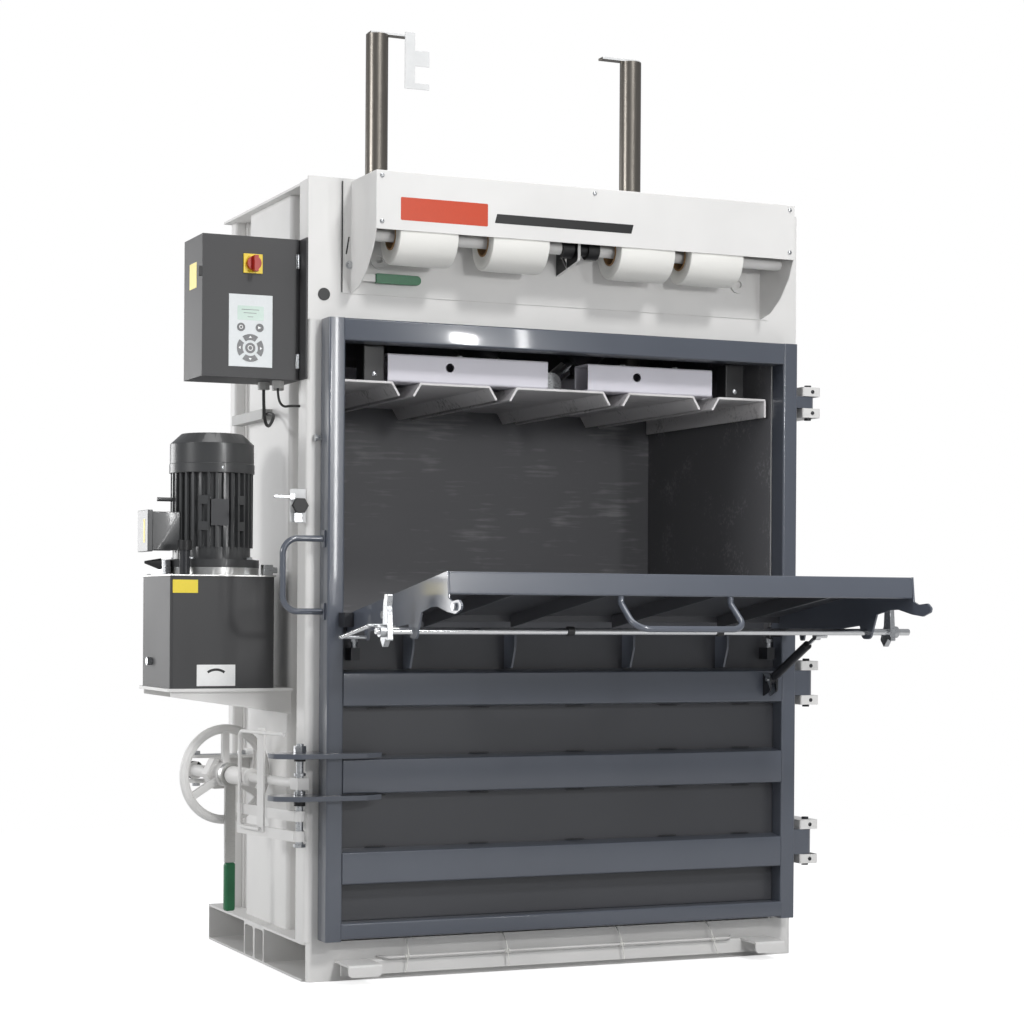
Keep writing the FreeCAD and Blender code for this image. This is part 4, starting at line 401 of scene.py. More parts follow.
def shape_edges(obj, width, angle=38.0):
    """Smooth shading with rounded edges, so that every edge catches light."""
    obj.data.shade_smooth()
    obj.data.set_sharp_from_angle(angle=math.radians(angle))
    if width > 0.0:
        bevel = obj.modifiers.new("rounded edges", "BEVEL")
        bevel.width = width
        bevel.segments = 2
        bevel.limit_method = "ANGLE"
        bevel.angle_limit = math.radians(angle)
        bevel.harden_normals = True


def make_piece(name, bm, finishes, body, rounding=0.0, outward=True):
    """Object from a bmesh, with its finishes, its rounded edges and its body."""
    if outward:
        bmesh.ops.remove_doubles(bm, verts=bm.verts, dist=0.00001)
        bmesh.ops.recalc_face_normals(bm, faces=bm.faces)
    mesh = bpy.data.meshes.new(name)
    bm.to_mesh(mesh)
    bm.free()
    for key in finishes:
        mesh.materials.append(finish(key))
    obj = bpy.data.objects.new(name, mesh)
    bpy.context.scene.collection.objects.link(obj)
    shape_edges(obj, rounding)
    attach(obj, body)
    return obj


def lay_film(name, key, outlines, face, height, body, sink=0.0):
    """Thin plates on a sheet that faces the front: outlines of (x, z), face and height in millimetres."""
    bm = bmesh.new()
    for points in outlines:
        add_slab(bm, [(x * MM, z * MM) for x, z in points], (face - height) * MM, (face + sink) * MM)
    return make_piece(name, bm, [key], body)


def side_field(name, key, node, ys, zs):
    """Printed film on the left face of a fixed node."""
    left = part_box(node)[0].x
    bm = bmesh.new()
    add_block(bm, (left - SIDE_FILM * MM, ys[0] * MM, zs[0] * MM), (left, ys[1] * MM, zs[1] * MM))
    make_piece(name, bm, [key], "frame")


def within(point, zone):
    """True where a point lies in a zone: limits in millimetres for x, y or z."""
    return all(low <= point["xyz".index(axis)] / MM <= high for axis, (low, high) in zone.items())


def refine(node, base, zones=(), rounding=None, drop=None):
    """Copy of a CAD node, with rounded edges and a finish for each zone; it stands for the node."""
    source = frame["nodes"][node]
    bm = bmesh.new()
    bm.from_mesh(source.data)
    bmesh.ops.remove_doubles(bm, verts=bm.verts, dist=0.000004)
    bmesh.ops.dissolve_limit(bm, angle_limit=math.radians(0.8), verts=bm.verts, edges=bm.edges)
    if drop:
        lost = [f for f in bm.faces if within(f.calc_center_median(), drop)]
        bmesh.ops.delete(bm, geom=lost, context="FACES")
    for face in bm.faces:
        centre = face.calc_center_median()
        face.material_index = next((i + 1 for i, zone in enumerate(zones) if within(centre, zone[1])), 0)
    width = sizes().fine_round if rounding is None else rounding
    keys = [base] + [zone[0] for zone in zones]
    piece = make_piece(node + "_finish", bm, keys, source["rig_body"], width, outward=False)
    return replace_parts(piece, node)


# ---------------------------------------------------------------- geometry node tools
def new_tree(name, inputs):
    """Geometry node tree with named inputs: (name, socket type, default)."""
    tree = bpy.data.node_groups.new(name, "GeometryNodeTree")
    tree.interface.new_socket("Geometry", in_out="INPUT", socket_type="NodeSocketGeometry")
    for label, kind, default in inputs:
        socket = tree.interface.new_socket(label, in_out="INPUT", socket_type=kind)
        if default is not None:
            socket.default_value = default
    tree.interface.new_socket("Geometry", in_out="OUTPUT", socket_type="NodeSocketGeometry")
    return tree, tree.nodes.new("NodeGroupInput").outputs


def end_tree(tree, geometry, material):
    """Realize Instances and Set Material, then the output."""
    real = add(tree, "GeometryNodeRealizeInstances", {"Geometry": geometry}).outputs["Geometry"]
    painted = add(tree, "GeometryNodeSetMaterial", {"Geometry": real, "Material": material})
    add(tree, "NodeGroupOutput", {"Geometry": painted.outputs["Geometry"]})


def grow(name, mesh, tree, values, key, body, place=None, angle=38.0):
    """Runs a tree on a mesh and keeps the result as a plain piece."""
    seed = bpy.data.objects.new(name + "_seed", mesh)
    bpy.context.scene.collection.objects.link(seed)
    modifier = seed.modifiers.new("grow", "NODES")
    modifier.node_group = tree
    for item in tree.interface.items_tree:
        if item.in_out == "INPUT" and item.name in values:
            modifier[item.identifier] = values[item.name]
    seed.update_tag()
    bpy.context.view_layer.update()
    graph = bpy.context.evaluated_depsgraph_get()
    result = bpy.data.meshes.new_from_object(seed.evaluated_get(graph))
    bpy.data.objects.remove(seed)
    if place is not None:
        result.transform(place)
    result.name = name
    result.materials.clear()
    result.materials.append(finish(key))
    obj = bpy.data.objects.new(name, result)
    bpy.context.scene.collection.objects.link(obj)
    shape_edges(obj, 0.0, angle)
    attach(obj, body)
    return obj


def fastener_tree():
    """One head on every point, facing the way its point says, each turned by chance."""
    tree, given = new_tree("fasteners", [
        ("Head", "NodeSocketObject", None), ("Size", "NodeSocketFloat", 1.0),
        ("Most Turn", "NodeSocketFloat", 3.0), ("Finish", "NodeSocketMaterial", None)])
    head = add(tree, "GeometryNodeObjectInfo", {"Object": given["Head"]}).outputs["Geometry"]
    facing = add(tree, "GeometryNodeInputNamedAttribute", {"Name": "facing"}, data_type="FLOAT_VECTOR")
    toward = add(
        tree, "FunctionNodeAlignRotationToVector", {"Vector": facing.outputs["Attribute"]}, axis="Z")
    spin = add(tree, "FunctionNodeRandomValue", {2: 0.0, 3: given["Most Turn"], "Seed": 7}, data_type="FLOAT")
    angle = add(tree, "ShaderNodeCombineXYZ", {"Z": spin.outputs[1]}).outputs["Vector"]
    placed = add(tree, "GeometryNodeInstanceOnPoints", {
        "Points": given["Geometry"], "Instance": head, "Rotation": toward.outputs["Rotation"],
        "Scale": given["Size"]})
    turned = add(tree, "GeometryNodeRotateInstances", {
        "Instances": placed.outputs["Instances"], "Rotation": angle, "Local Space": True})
    end_tree(tree, turned.outputs["Instances"], given["Finish"])
    return tree


def head_mesh(name, build):
    """Small hidden head that the fastener tree repeats."""
    bm = bmesh.new()
    build(bm)
    bmesh.ops.recalc_face_normals(bm, faces=bm.faces)
    mesh = bpy.data.meshes.new(name)
    bm.to_mesh(mesh)
    bm.free()
    return bpy.data.objects.new(name, mesh)


def pan_head(bm):
    """Raised screw head with a recess, 1 mm radius: Size gives the real one."""
    add_lathe(bm, (0, 0, 0), (0, 0, 1), [
        (0.0, 0.0), (0.0, 1.0), (0.22, 0.98), (0.42, 0.72), (0.50, 0.42), (0.32, 0.30), (0.30, 0.0)], 20)


def hexagon_head(bm):
    """Bolt head with a washer, 1 mm across its half: Size gives the real one."""
    add_lathe(bm, (0, 0, 0), (0, 0, 1), [(0.0, 0.0), (0.0, 1.3), (0.14, 1.3), (0.14, 0.0)], 24)
    hexagon = [(0.0, 0.0), (0.0, 0.98), (0.58, 0.98), (0.68, 0.84), (0.68, 0.0)]
    add_lathe(bm, (0, 0, 0.14), (0, 0, 1), hexagon, 6)


def slot_shade_plate(bm):
    """Long dark plate, laid along its own X: painted shade of a weld slot in a rib."""
    add_block(bm, (-25.0, -1.6, -0.2), (25.0, 1.6, 0.3))


def fasten(name, points, facing, build, size_mm, key, body, turn=3.0):
    """Heads on points given in millimetres, all facing one way."""
    mesh = bpy.data.meshes.new(name + "_points")
    mesh.from_pydata([[c * MM for c in p] for p in points], [], [])
    vectors = mesh.attributes.new("facing", "FLOAT_VECTOR", "POINT")
    for spot in vectors.data:
        spot.vector = facing
    values = {"Head": head_mesh(name + "_head", build), "Size": size_mm * MM, "Most Turn": turn,
              "Finish": finish(key)}
    return grow(name, mesh, fastener_tree(), values, key, body)


# ---------------------------------------------------------------- chassis
def dress_chassis():
    fold = sizes().fold_round
    # Inner faces of the chamber take a darker scuffed coat: painted shade inside the chamber, with wear.
    walls_inside = {"x": (-598.5, 598.5)}
    refine("base_frame", "chassis_coat", rounding=fold)
    for node in ("left_side_frame", "right_side_frame"):
        refine(node, "chassis_coat", [("chamber_wear_shade", walls_inside)], fold)
    rear_inside = {"y": (299.0, 300.5)}
    refine("rear_wall", "chassis_coat", [("chamber_wear_shade", rear_inside)], fold)
    refine("chamber_floor", "floor_steel", rounding=fold)
    plug = {"x": (-647.0, -615.0), "y": (-402.5, -400.2), "z": (1629.0, 1661.0)}
    refine("head_frame", "chassis_coat", [("black_plastic", plug)], fold)
    refine("guide_bushes", "black_plastic")
    pins = {"x": (680.5, 699.5), "y": (-439.5, -420.5)}
    refine("door_hinge_blocks", "chassis_coat", [("black_steel", pins)])
    refine("power_shelf", "chassis_coat")
    bolts = {"y": (134.5, 160.0), "z": (514.9, 525.0)}
    nuts = {"y": (134.5, 160.0), "z": (433.0, 443.1)}
    refine("lock_anchor", "chassis_coat", [("zinc", bolts), ("zinc", nuts)])
    refine("cable_duct", "grey_plastic")
    lever = {"y": (-400.6, -394.2), "z": (1150.0, 1168.0)}
    latch = {"y": (-408.5, -394.2), "z": (1097.0, 1120.5)}
    knob = {"y": (-415.5, -394.2), "z": (1118.0, 1158.0)}
    refine("limit_switch", "white_plastic", [("zinc", lever), ("zinc", latch), ("black_plastic", knob)])


# ---------------------------------------------------------------- twine rolls and hood
# places and sizes in millimetres; an outline holds (x, z) corners, a rectangle x, x, z, z
HEAD_SHEET = -402.5       # front face of the sheet behind the hood
WIDE_FIELD = (-502.0, -280.0, 1806.0, 1860.0)
SLANTED_BAR = ((-262.0, 1816.0), (102.0, 1816.0), (108.0, 1838.0), (-256.0, 1838.0))
# Black strips on the sheet behind the hood: painted shade in the cheek's slot, and a painted shadow beside
# the hood's left edge.
CHEEK_SLOT_SHADE = ((-578.0, 1744.0), (-574.5, 1744.0), (-567.5, 1786.0), (-571.0, 1786.0))
HOOD_EDGE_SHADOW = ((-588.0, 1652.0), (-585.0, 1652.0), (-585.0, 1919.0), (-588.0, 1919.0))
HOOD_SCREW_X = 549.0
HOOD_SCREW_LOW = 1800.0
HOOD_SCREW_EDGE = 13.0    # from the hood's top edge to its upper screws


def dress_hood():
    fine = sizes().fine_round
    refine("twine_hood", "chassis_coat")
    pivot = {"x": (-555.0, -545.0), "z": (1683.0, 1693.0)}
    knobs = {"x": (-57.2, 42.2), "y": (-524.5, -475.5), "z": (1755.5, 1804.5)}
    refine("twine_brackets", "chassis_coat", [("zinc", pivot), ("black_plastic", knobs)])
    grip = {"x": (-508.2, -391.0)}
    refine("brake_lever", "chassis_coat", [("grip", grip)], 2.2 * fine)
    low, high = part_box("twine_hood")
    face = low.y / MM
    wide = rounded_rectangle(*WIDE_FIELD, radius=3.0)
    lay_film("hood_field_wide", "stripe_ink", [wide], face, FILM, "frame")
    lay_film("hood_field_line", "black_ink", [SLANTED_BAR], face, FILM, "frame")
    upper = high.z / MM - HOOD_SCREW_EDGE
    screws = [(-HOOD_SCREW_X, face, upper), (-HOOD_SCREW_X, face, HOOD_SCREW_LOW), (2.0, face, upper),
              (HOOD_SCREW_X, face, upper), (HOOD_SCREW_X, face, HOOD_SCREW_LOW)]
    fasten("hood_screws", screws, (0, -1, 0), pan_head, 5.5, "zinc", "frame")
    bolt = (-567.0, HEAD_SHEET, 1718.5)
    fasten("hood_bolt", [bolt], (0, -1, 0), hexagon_head, 8.0, "zinc", "frame")
    # Black film: painted shade of the slot and painted shadow beside the hood's edge.
    bm = bmesh.new()
    for outline, height in ((CHEEK_SLOT_SHADE, 0.3), (HOOD_EDGE_SHADOW, 0.4)):
        add_slab(bm, [(x * MM, z * MM) for x, z in outline], (HEAD_SHEET - height) * MM, HEAD_SHEET * MM)
    make_piece("hood_dark_trim", bm, ["black_ink"], "frame")


def half_winding(half, radius):
    """Outline of a winding from its core out to its crown, at the low end: (along, radius)."""
    core = sizes().core_radius
    crown = 1.2 * MM
    ease = 1.5 * MM
    return [(-half + 2 * ease, core), (-half + MM, core + 2 * ease), (-half, radius - 9 * MM),
            (-half + ease, radius - 2.5 * MM), (-half + 5 * MM, radius - crown)]


def dress_rolls():
    core = sizes().core_radius
    inner = core - sizes().core_wall
    bore = 16.3 * MM
    hub_inset = 26 * MM
    hub_half = 3 * MM
    for number in range(1, 5):
        node = "twine_roll_%d" % number
        body = frame["nodes"][node]["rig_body"]
        low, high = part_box(node)
        centre = (low + high) / 2.0
        half = (high.x - low.x) / 2.0
        radius = (high.z - low.z) / 2.0
        end = half_winding(half, radius)
        bm = bmesh.new()
        add_lathe(bm, centre, (1, 0, 0), end + [(0.0, radius)] + [(-along, r) for along, r in end[::-1]], 64)
        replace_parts(make_piece("twine_winding_%d" % number, bm, ["twine"], body), node)
        bm = bmesh.new()
        add_lathe(bm, centre, (1, 0, 0), [(-half, core), (-half, inner), (half, inner), (half, core)], 48)
        make_piece("twine_core_%d" % number, bm, ["board"], body, 0.4 * MM)
        bm = bmesh.new()
        for spot in (hub_inset - half, half - hub_inset):
            near, far = spot - hub_half, spot + hub_half
            add_lathe(bm, centre, (1, 0, 0), [(near, inner), (near, bore), (far, bore), (far, inner)], 32)
        make_piece("twine_hub_%d" % number, bm, ["black_plastic"], body)


# ---------------------------------------------------------------- ram and cylinders
# places in millimetres
GUIDE_BLOCK_X = 497.0
GUIDE_BLOCK_FRONT = -387.0
BEAM_TOP = 1515.0


def dress_ram():
    fold = sizes().fold_round
    refine("ram_plate", "ram_coat", rounding=fold)
    spans = ((-526.0, -469.0), (469.0, 526.0))
    blocks = [{"x": span, "y": (-388.0, -334.0), "z": (1440.0, 1531.0)} for span in spans]
    # Inner walls of the beam holes coloured black: painted shade in the holes.
    hole_shade = {"y": (-379.9, -370.0), "z": (1474.5, 1497.5)}
    pins = {"x": (-75.0, 75.0), "y": (-243.0, -232.2)}
    zones = [("black_plastic", block) for block in blocks] + [("black_steel", hole_shade), ("zinc", pins)]
    refine("ram_beams", "beam_coat", zones, fold)
    flag = {"y": (-55.0, -49.9), "z": (2230.0, 2390.0)}
    refine("guide_tubes", "guide_steel", [("white_plastic", flag)])
    for side in ("left", "right"):
        refine("cylinder_rod_" + side, "chrome")
        refine("cylinder_barrel_" + side, "black_steel")
    block_screws = [(x, GUIDE_BLOCK_FRONT, 1462.0) for x in (-GUIDE_BLOCK_X, GUIDE_BLOCK_X)]
    fasten("guide_block_screws", block_screws, (0, -1, 0), pan_head, 7.0, "zinc", "ram")
    beam_bolts = [(x, -340.0, BEAM_TOP) for x in (-254.0, 196.0, 346.0)]
    fasten("beam_bolts", beam_bolts, (0, 0, 1), hexagon_head, 8.0, "zinc", "ram")


# ---------------------------------------------------------------- door
# places and sizes in millimetres
PANEL_FRONT = -424.0
RIB_XS = (-500.0, -230.0, 30.0, 290.0, 500.0)
SLOT_GAP = 2.5                  # from a rib's edge to the middle of its weld slot
SLOTS_OVER = (320.0, 541.0)     # ribs' edges that have slots above them
SLOTS_UNDER = (448.0, 656.0)    # and below them
HINGE_SCREW_ZS = (252.0, 341.0, 664.0, 753.0, 1409.0, 1464.0)


def dress_door():
    fold = sizes().fold_round
    refine("door_frame", "door_coat", rounding=2.0 * fold)
    # The flat sheet between the ribs takes the darker coat: painted shade under the flap.
    sheet = {"y": (-421.5, -408.0)}
    refine("door_panel", "door_coat", [("sheet_shade_coat", sheet)], fold)
    refine("door_handle", "door_coat")
    refine("lock_hook_plates", "door_coat", rounding=fold)
    studs = [{"x": span, "z": (1285.0, 1315.0)} for span in ((-660.0, -639.1), (639.1, 660.0))]
    stop_bolts = {"y": (-460.0, -438.0), "z": (800.1, 825.0)}
    strut_pin = {"x": (537.0, 571.0), "y": (-492.5, -481.5), "z": (713.5, 724.5)}
    refine("door_fittings", "black_steel", [("zinc", zone) for zone in (*studs, stop_bolts, strut_pin)])
    spacers = [("black_plastic", {"z": span}) for span in ((424.1, 438.5), (530.1, 538.5))]
    refine("lock_pivot", "zinc", spacers)
    # Dark plates over the ribs' weld slots: painted shade in the slots.
    slots = [(x, PANEL_FRONT, z + SLOT_GAP) for z in SLOTS_OVER for x in RIB_XS]
    slots += [(x, PANEL_FRONT, z - SLOT_GAP) for x in RIB_XS for z in SLOTS_UNDER]
    fasten("rib_weld_slots", slots, (0, -1, 0), slot_shade_plate, 1.0, "black_steel", "door", 0.0)
    sides = [(714.0, -350.0, z) for z in HINGE_SCREW_ZS]
    fasten("hinge_block_screws", sides, (1, 0, 0), pan_head, 6.0, "black_steel", "frame")
    fronts = [(690.0, -455.0, z) for z in HINGE_SCREW_ZS]
    fasten("hinge_front_screws", fronts, (0, -1, 0), pan_head, 5.0, "black_steel", "frame")


# ---------------------------------------------------------------- flap, latch and strut
# places and sizes in millimetres
SPRING_FRONT = (-648.0, -590.0, 827.0)
SPRING_BACK = (-648.0, -780.0, 856.0)
SPRING_RADIUS = 4.1
SPRING_SEAT = 4.0         # from a seat's middle to the coil
COLLAR_XS = (-205.0, 180.0)
COLLAR_HALF = 8.0
COLLAR_WALL = 3.2


def spring_tree():
    """Close-wound coil: a spiral of even radius swept by a round wire."""
    tree, given = new_tree("coil_spring", [
        ("Coils", "NodeSocketFloat", 20.0), ("Radius", "NodeSocketFloat", 0.004),
        ("Length", "NodeSocketFloat", 0.1), ("Wire", "NodeSocketFloat", 0.001),
        ("Finish", "NodeSocketMaterial", None)])
    coil = add(tree, "GeometryNodeCurveSpiral", {
        "Resolution": 14, "Rotations": given["Coils"], "Start Radius": given["Radius"],
        "End Radius": given["Radius"], "Height": given["Length"]})
    wire = add(tree, "GeometryNodeCurvePrimitiveCircle", {"Resolution": 7, "Radius": given["Wire"]})
    swept = add(tree, "GeometryNodeCurveToMesh", {
        "Curve": coil.outputs["Curve"], "Profile Curve": wire.outputs["Curve"], "Fill Caps": True})
    end_tree(tree, swept.outputs["Mesh"], given["Finish"])
    return tree


def wind_spring():
    """The latch spring's coil between its two seats."""
    start = Vector(SPRING_FRONT) * MM
    run = Vector(SPRING_BACK) * MM - start
    first = start + run.normalized() * SPRING_SEAT * MM
    place = Matrix.Translation(first) @ run.to_track_quat("Z", "Y").to_matrix().to_4x4()
    values = {"Coils": float(sizes().spring_coils), "Radius": SPRING_RADIUS * MM, "Wire": sizes().spring_wire,
              "Length": run.length - 2.0 * SPRING_SEAT * MM, "Finish": finish("chrome")}
    grow("latch_spring", bpy.data.meshes.new("spring_seed"), spring_tree(), values, "chrome", "flap",
         place, angle=80.0)


def dress_flap():
    # The flap's sheet takes the darker coat: painted shade under the flap.
    sheet = {"y": (-1071.0, -470.0)}
    refine("flap_panel", "door_coat", [("sheet_shade_coat", sheet)], sizes().fold_round)
    refine("flap_side_plates", "door_coat")
    refine("flap_handle", "door_coat")
    plain_spring = {"x": (-653.5, -642.5), "y": (-776.3, -593.7)}
    refine("flap_fittings", "zinc", drop=plain_spring)
    refine("latch_rod", "chrome")
    refine("latch_hooks", "zinc", rounding=2.0 * sizes().fine_round)
    refine("strut_tube", "black_steel")
    refine("strut_rod", "chrome")
    wind_spring()
    low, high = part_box("latch_rod")
    middle = (low + high) / 2.0
    inner = (high.z - low.z) / 2.0
    outer = inner + COLLAR_WALL * MM
    half = COLLAR_HALF * MM
    bm = bmesh.new()
    for x in COLLAR_XS:
        ring = [(-half, inner), (-half, outer), (half, outer), (half, inner)]
        add_lathe(bm, (x * MM, middle.y, middle.z), (1, 0, 0), ring, 24)
    make_piece("latch_rod_collars", bm, ["black_plastic"], "latch", 0.4 * MM)


# ---------------------------------------------------------------- door lock
def dress_lock():
    fold = sizes().fold_round
    refine("lock_carrier", "chassis_coat")
    refine("lock_guard", "chassis_coat")
    crank_knob = {"y": (108.0, 123.0), "z": (452.0, 502.0)}
    refine("lock_spindle", "chassis_coat", [("black_plastic", crank_knob)])
    refine("handwheel", "chassis_coat", rounding=1.6 * fold)
    grip = {"z": (130.0, 257.9)}
    refine("ratchet_lever", "aluminium", [("grip", grip)], 1.6 * fold)


# ---------------------------------------------------------------- power unit
VENT_SLOT = (11.0 * MM, 3.4 * MM, 0.8 * MM)
# places and sizes in millimetres and degrees
VENT_FIRST = 15.0         # radius of the innermost ring of vents
VENT_STEP = 17.0
COWL_RIM = (1226.0, 1248.0, 1250.0)     # heights of the rim's foot, shoulder and top
RIM_PROUD = 1.4
RIM_SUNK = 0.5
COWL_SCREW_Z = 1237.0
COWL_SCREW_ANGLES = (-92.0, 28.0, 148.0)
FLANGE_BOLT_RADIUS = 106.0
FLANGE_BOLT_ANGLES = (-135.0, -45.0, 45.0, 135.0)
FLANGE_TOP = 1012.0
LID_TOP = 974.0
TANK_ARC = (-834.5, 706.0, 34.0, 40.0, 55.0, 125.0)     # x, z, inner and outer radius, first and last angle
PLATE_FIELD = ((100.9, -21.0, 1097.0), (101.3, -9.0, 1158.0))     # corners, from the motor's axis
PLATE_ANGLE = -95.0


def vent_tree():
    """Rings of short slots, each pointing away from the middle."""
    labels = ["Ring %d" % (i + 1) for i in range(sizes().vent_rings)]
    tree, given = new_tree("cowl_vents", [(label, "NodeSocketFloat", VENT_FIRST * MM) for label in labels] + [
        ("Slot", "NodeSocketVector", VENT_SLOT), ("Finish", "NodeSocketMaterial", None)])
    slot = add(tree, "GeometryNodeMeshCube", {"Size": given["Slot"]}).outputs["Mesh"]
    place = add(tree, "GeometryNodeInputPosition").outputs["Position"]
    radial = add(tree, "FunctionNodeAlignRotationToVector", {"Vector": place}, axis="X").outputs["Rotation"]
    joined = add(tree, "GeometryNodeJoinGeometry")
    for i, label in enumerate(labels):
        circle = add(tree, "GeometryNodeMeshCircle", {"Vertices": 8 * (i + 1), "Radius": given[label]})
        set_down = add(tree, "GeometryNodeInstanceOnPoints", {
            "Points": circle.outputs["Mesh"], "Instance": slot, "Rotation": radial})
        tree.links.new(set_down.outputs["Instances"], joined.inputs["Geometry"])
    end_tree(tree, joined.outputs["Geometry"], given["Finish"])
    return tree


def around(centre, radius, degrees):
    """Point on a level circle."""
    angle = math.radians(degrees)
    return centre.x + radius * math.cos(angle), centre.y + radius * math.sin(angle)


def dress_motor():
    fold = sizes().fold_round
    plate = {"x": (-845.0, -790.0), "y": (-178.5, -174.0), "z": (1094.0, 1161.0)}
    refine("motor_housing", "motor_enamel", [("black_steel", plate)])
    refine("motor_cowl", "motor_enamel", rounding=2.0 * fold)
    refine("motor_fan", "black_plastic")
    gland = {"y": (-32.0, -10.0)}
    refine("terminal_box", "motor_enamel", [("black_plastic", gland)], fold)
    low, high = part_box("motor_cowl")
    centre = (low + high) / 2.0
    reach = (high.x - low.x) / 2.0
    values = {"Ring %d" % (i + 1): (VENT_FIRST + VENT_STEP * i) * MM for i in range(sizes().vent_rings)}
    values.update({"Slot": VENT_SLOT, "Finish": finish("black_plastic")})
    place = Matrix.Translation((centre.x, centre.y, high.z))
    grow("cowl_vents", bpy.data.meshes.new("vent_seed"), vent_tree(), values, "black_plastic", "frame",
         place)
    bm = bmesh.new()
    add_block(bm, *(Vector(corner) * MM for corner in PLATE_FIELD))
    turn = Matrix.Rotation(math.radians(PLATE_ANGLE), 4, "Z")
    bm.transform(Matrix.Translation((centre.x, centre.y, 0.0)) @ turn)
    make_piece("motor_plate_field", bm, ["white_ink"], "frame")
    bottom, shoulder, top = (z * MM for z in COWL_RIM)
    sunk, proud = reach - RIM_SUNK * MM, reach + RIM_PROUD * MM
    bm = bmesh.new()
    rim = [(bottom, sunk), (bottom, proud), (shoulder, proud), (top, sunk)]
    add_lathe(bm, (centre.x, centre.y, 0.0), (0, 0, 1), rim, 64)
    make_piece("cowl_rim", bm, ["motor_enamel"], "frame", 0.3 * MM)
    for number, degrees in enumerate(COWL_SCREW_ANGLES):
        x, y = around(centre, proud, degrees)
        out = (math.cos(math.radians(degrees)), math.sin(math.radians(degrees)), 0.0)
        fasten("cowl_screw_%d" % (number + 1), [(x / MM, y / MM, COWL_SCREW_Z)], out, pan_head, 4.2, "zinc",
               "frame")
    spots = [around(centre, FLANGE_BOLT_RADIUS * MM, degrees) for degrees in FLANGE_BOLT_ANGLES]
    bolts = [(x / MM, y / MM, FLANGE_TOP) for x, y in spots]
    fasten("flange_bolts", bolts, (0, 0, 1), hexagon_head, 8.0, "zinc", "frame")
    side_field("terminal_field", "yellow_ink", "terminal_box", (-100.0, -84.0), (1052.0, 1110.0))


def dress_tank():
    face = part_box("oil_tank")[0].y / MM
    front = (face - 0.1, face + 0.5)
    upper = {"y": front, "z": (920.0, 970.0)}
    lower = {"y": front, "z": (700.0, 760.0)}
    refine("oil_tank", "graphite_coat", [("yellow_ink", upper), ("white_ink", lower)], sizes().fold_round)
    refine("tank_lid", "aluminium")
    refine("oil_pump", "aluminium")
    filler = {"x": (-926.0, -890.0), "y": (-200.0, -160.0)}
    cap = {**filler, "z": (1032.0, 1060.0)}
    cone = {"x": (-990.0, -948.1), "z": (980.0, 1030.0)}
    neck = {**filler, "z": (990.0, 1032.0)}
    refine("tank_fittings", "zinc", [("black_plastic", cap), ("black_plastic", cone), ("black_steel", neck)])
    screws = [(x, y, LID_TOP) for x in (-936.0, -699.0) for y in (-150.0, 44.0)]
    fasten("lid_screws", screws, (0, 0, 1), pan_head, 6.0, "zinc", "frame")
    lay_film("tank_arc", "black_ink", [arc_segment(*TANK_ARC)], face, 0.15, "frame")


# ---------------------------------------------------------------- control cabinet
# places and sizes in millimetres
KEYPAD_FACE = -356.5
SINK = 0.1                # how deep the printed films reach into the keypad
DISPLAY = (-832.0, -767.0, 1578.0, 1612.0)
SEGMENT_BARS = ((-822.0, -778.0, 1602.5), (-817.0, -785.0, 1594.5), (-807.0, -793.0, 1585.5))
BAR_HEIGHT = 1.2
SMALL_KEYS = ((-823.0, 1561.0), (-777.0, 1561.0))
KEY_RING = (-800.0, 1512.0)


def disc(x, z, radius, steps):
    """Round key: a ring with hardly any hole."""
    return ring(x, z, 0.1, radius, steps)


def ring(x, z, inner, outer, steps):
    """Almost closed ring, printed or raised."""
    return arc_segment(x, z, inner, outer, 0.0, 359.0, steps)


def arrow(cx, cz, degrees):
    """Small triangle that points away from the middle of the key ring."""
    angle = math.radians(degrees)
    out, side = (math.cos(angle), math.sin(angle)), (-math.sin(angle), math.cos(angle))
    corners = ((29.0, 0.0), (24.0, 4.0), (24.0, -4.0))
    return [(cx + out[0] * r + side[0] * s, cz + out[1] * r + side[1] * s) for r, s in corners]


def dress_cabinet():
    fold = sizes().fold_round
    glands = {"z": (1400.0, 1440.9)}
    refine("cabinet_box", "graphite_coat", [("grey_plastic", glands)], fold)
    hinge = {"x": (-686.5, -676.0), "y": (-360.5, -355.1)}
    catch = {"x": (-930.0, -918.1)}
    refine("cabinet_door", "graphite_coat", [("zinc", hinge), ("black_plastic", catch)], fold)
    refine("control_gear", "white_plastic")
    switch_plate = {"z": (1680.0, 1740.0)}
    refine("control_panel", "membrane", [("yellow_plastic", switch_plate)])
    pointer = {"x": (-800.5, -789.0), "z": (1713.0, 1740.0)}
    refine("switch_knob", "red_plastic", [("yellow_plastic", pointer)])
    cx, cz = KEY_RING
    window = [rounded_rectangle(*DISPLAY, radius=2.5)]
    bars = [rounded_rectangle(a, b, z, z + BAR_HEIGHT, radius=0.4) for a, b, z in SEGMENT_BARS]
    quarters = (45.0, 135.0, 225.0, 315.0)
    keys = [disc(x, z, 10.0, 28) for x, z in SMALL_KEYS]
    keys += [arc_segment(cx, cz, 19.0, 33.0, start + 9.0, start + 81.0) for start in quarters]
    keys.append(disc(cx, cz, 12.5, 28))
    marks = [arrow(cx, cz, degrees) for degrees in (0.0, 90.0, 180.0, 270.0)]
    marks += [ring(cx, cz, 5.0, 6.5, 20), ring(*SMALL_KEYS[0], 3.2, 4.6, 16)]
    marks.append([(-781.0, 1557.5), (-773.0, 1561.0), (-781.0, 1564.5)])
    films = (("display_window", "display", window, 0.25), ("display_segments", "key_ink", bars, 0.35),
             ("keys", "key_ink", keys, 0.8), ("key_marks", "white_ink", marks, 0.95))
    for name, key, outlines, height in films:
        lay_film(name, key, outlines, KEYPAD_FACE, height, "cabinet_lid", SINK)
    side_field("cabinet_side_field", "yellow_ink", "cabinet_box", (-306.0, -246.0), (1655.0, 1716.0))


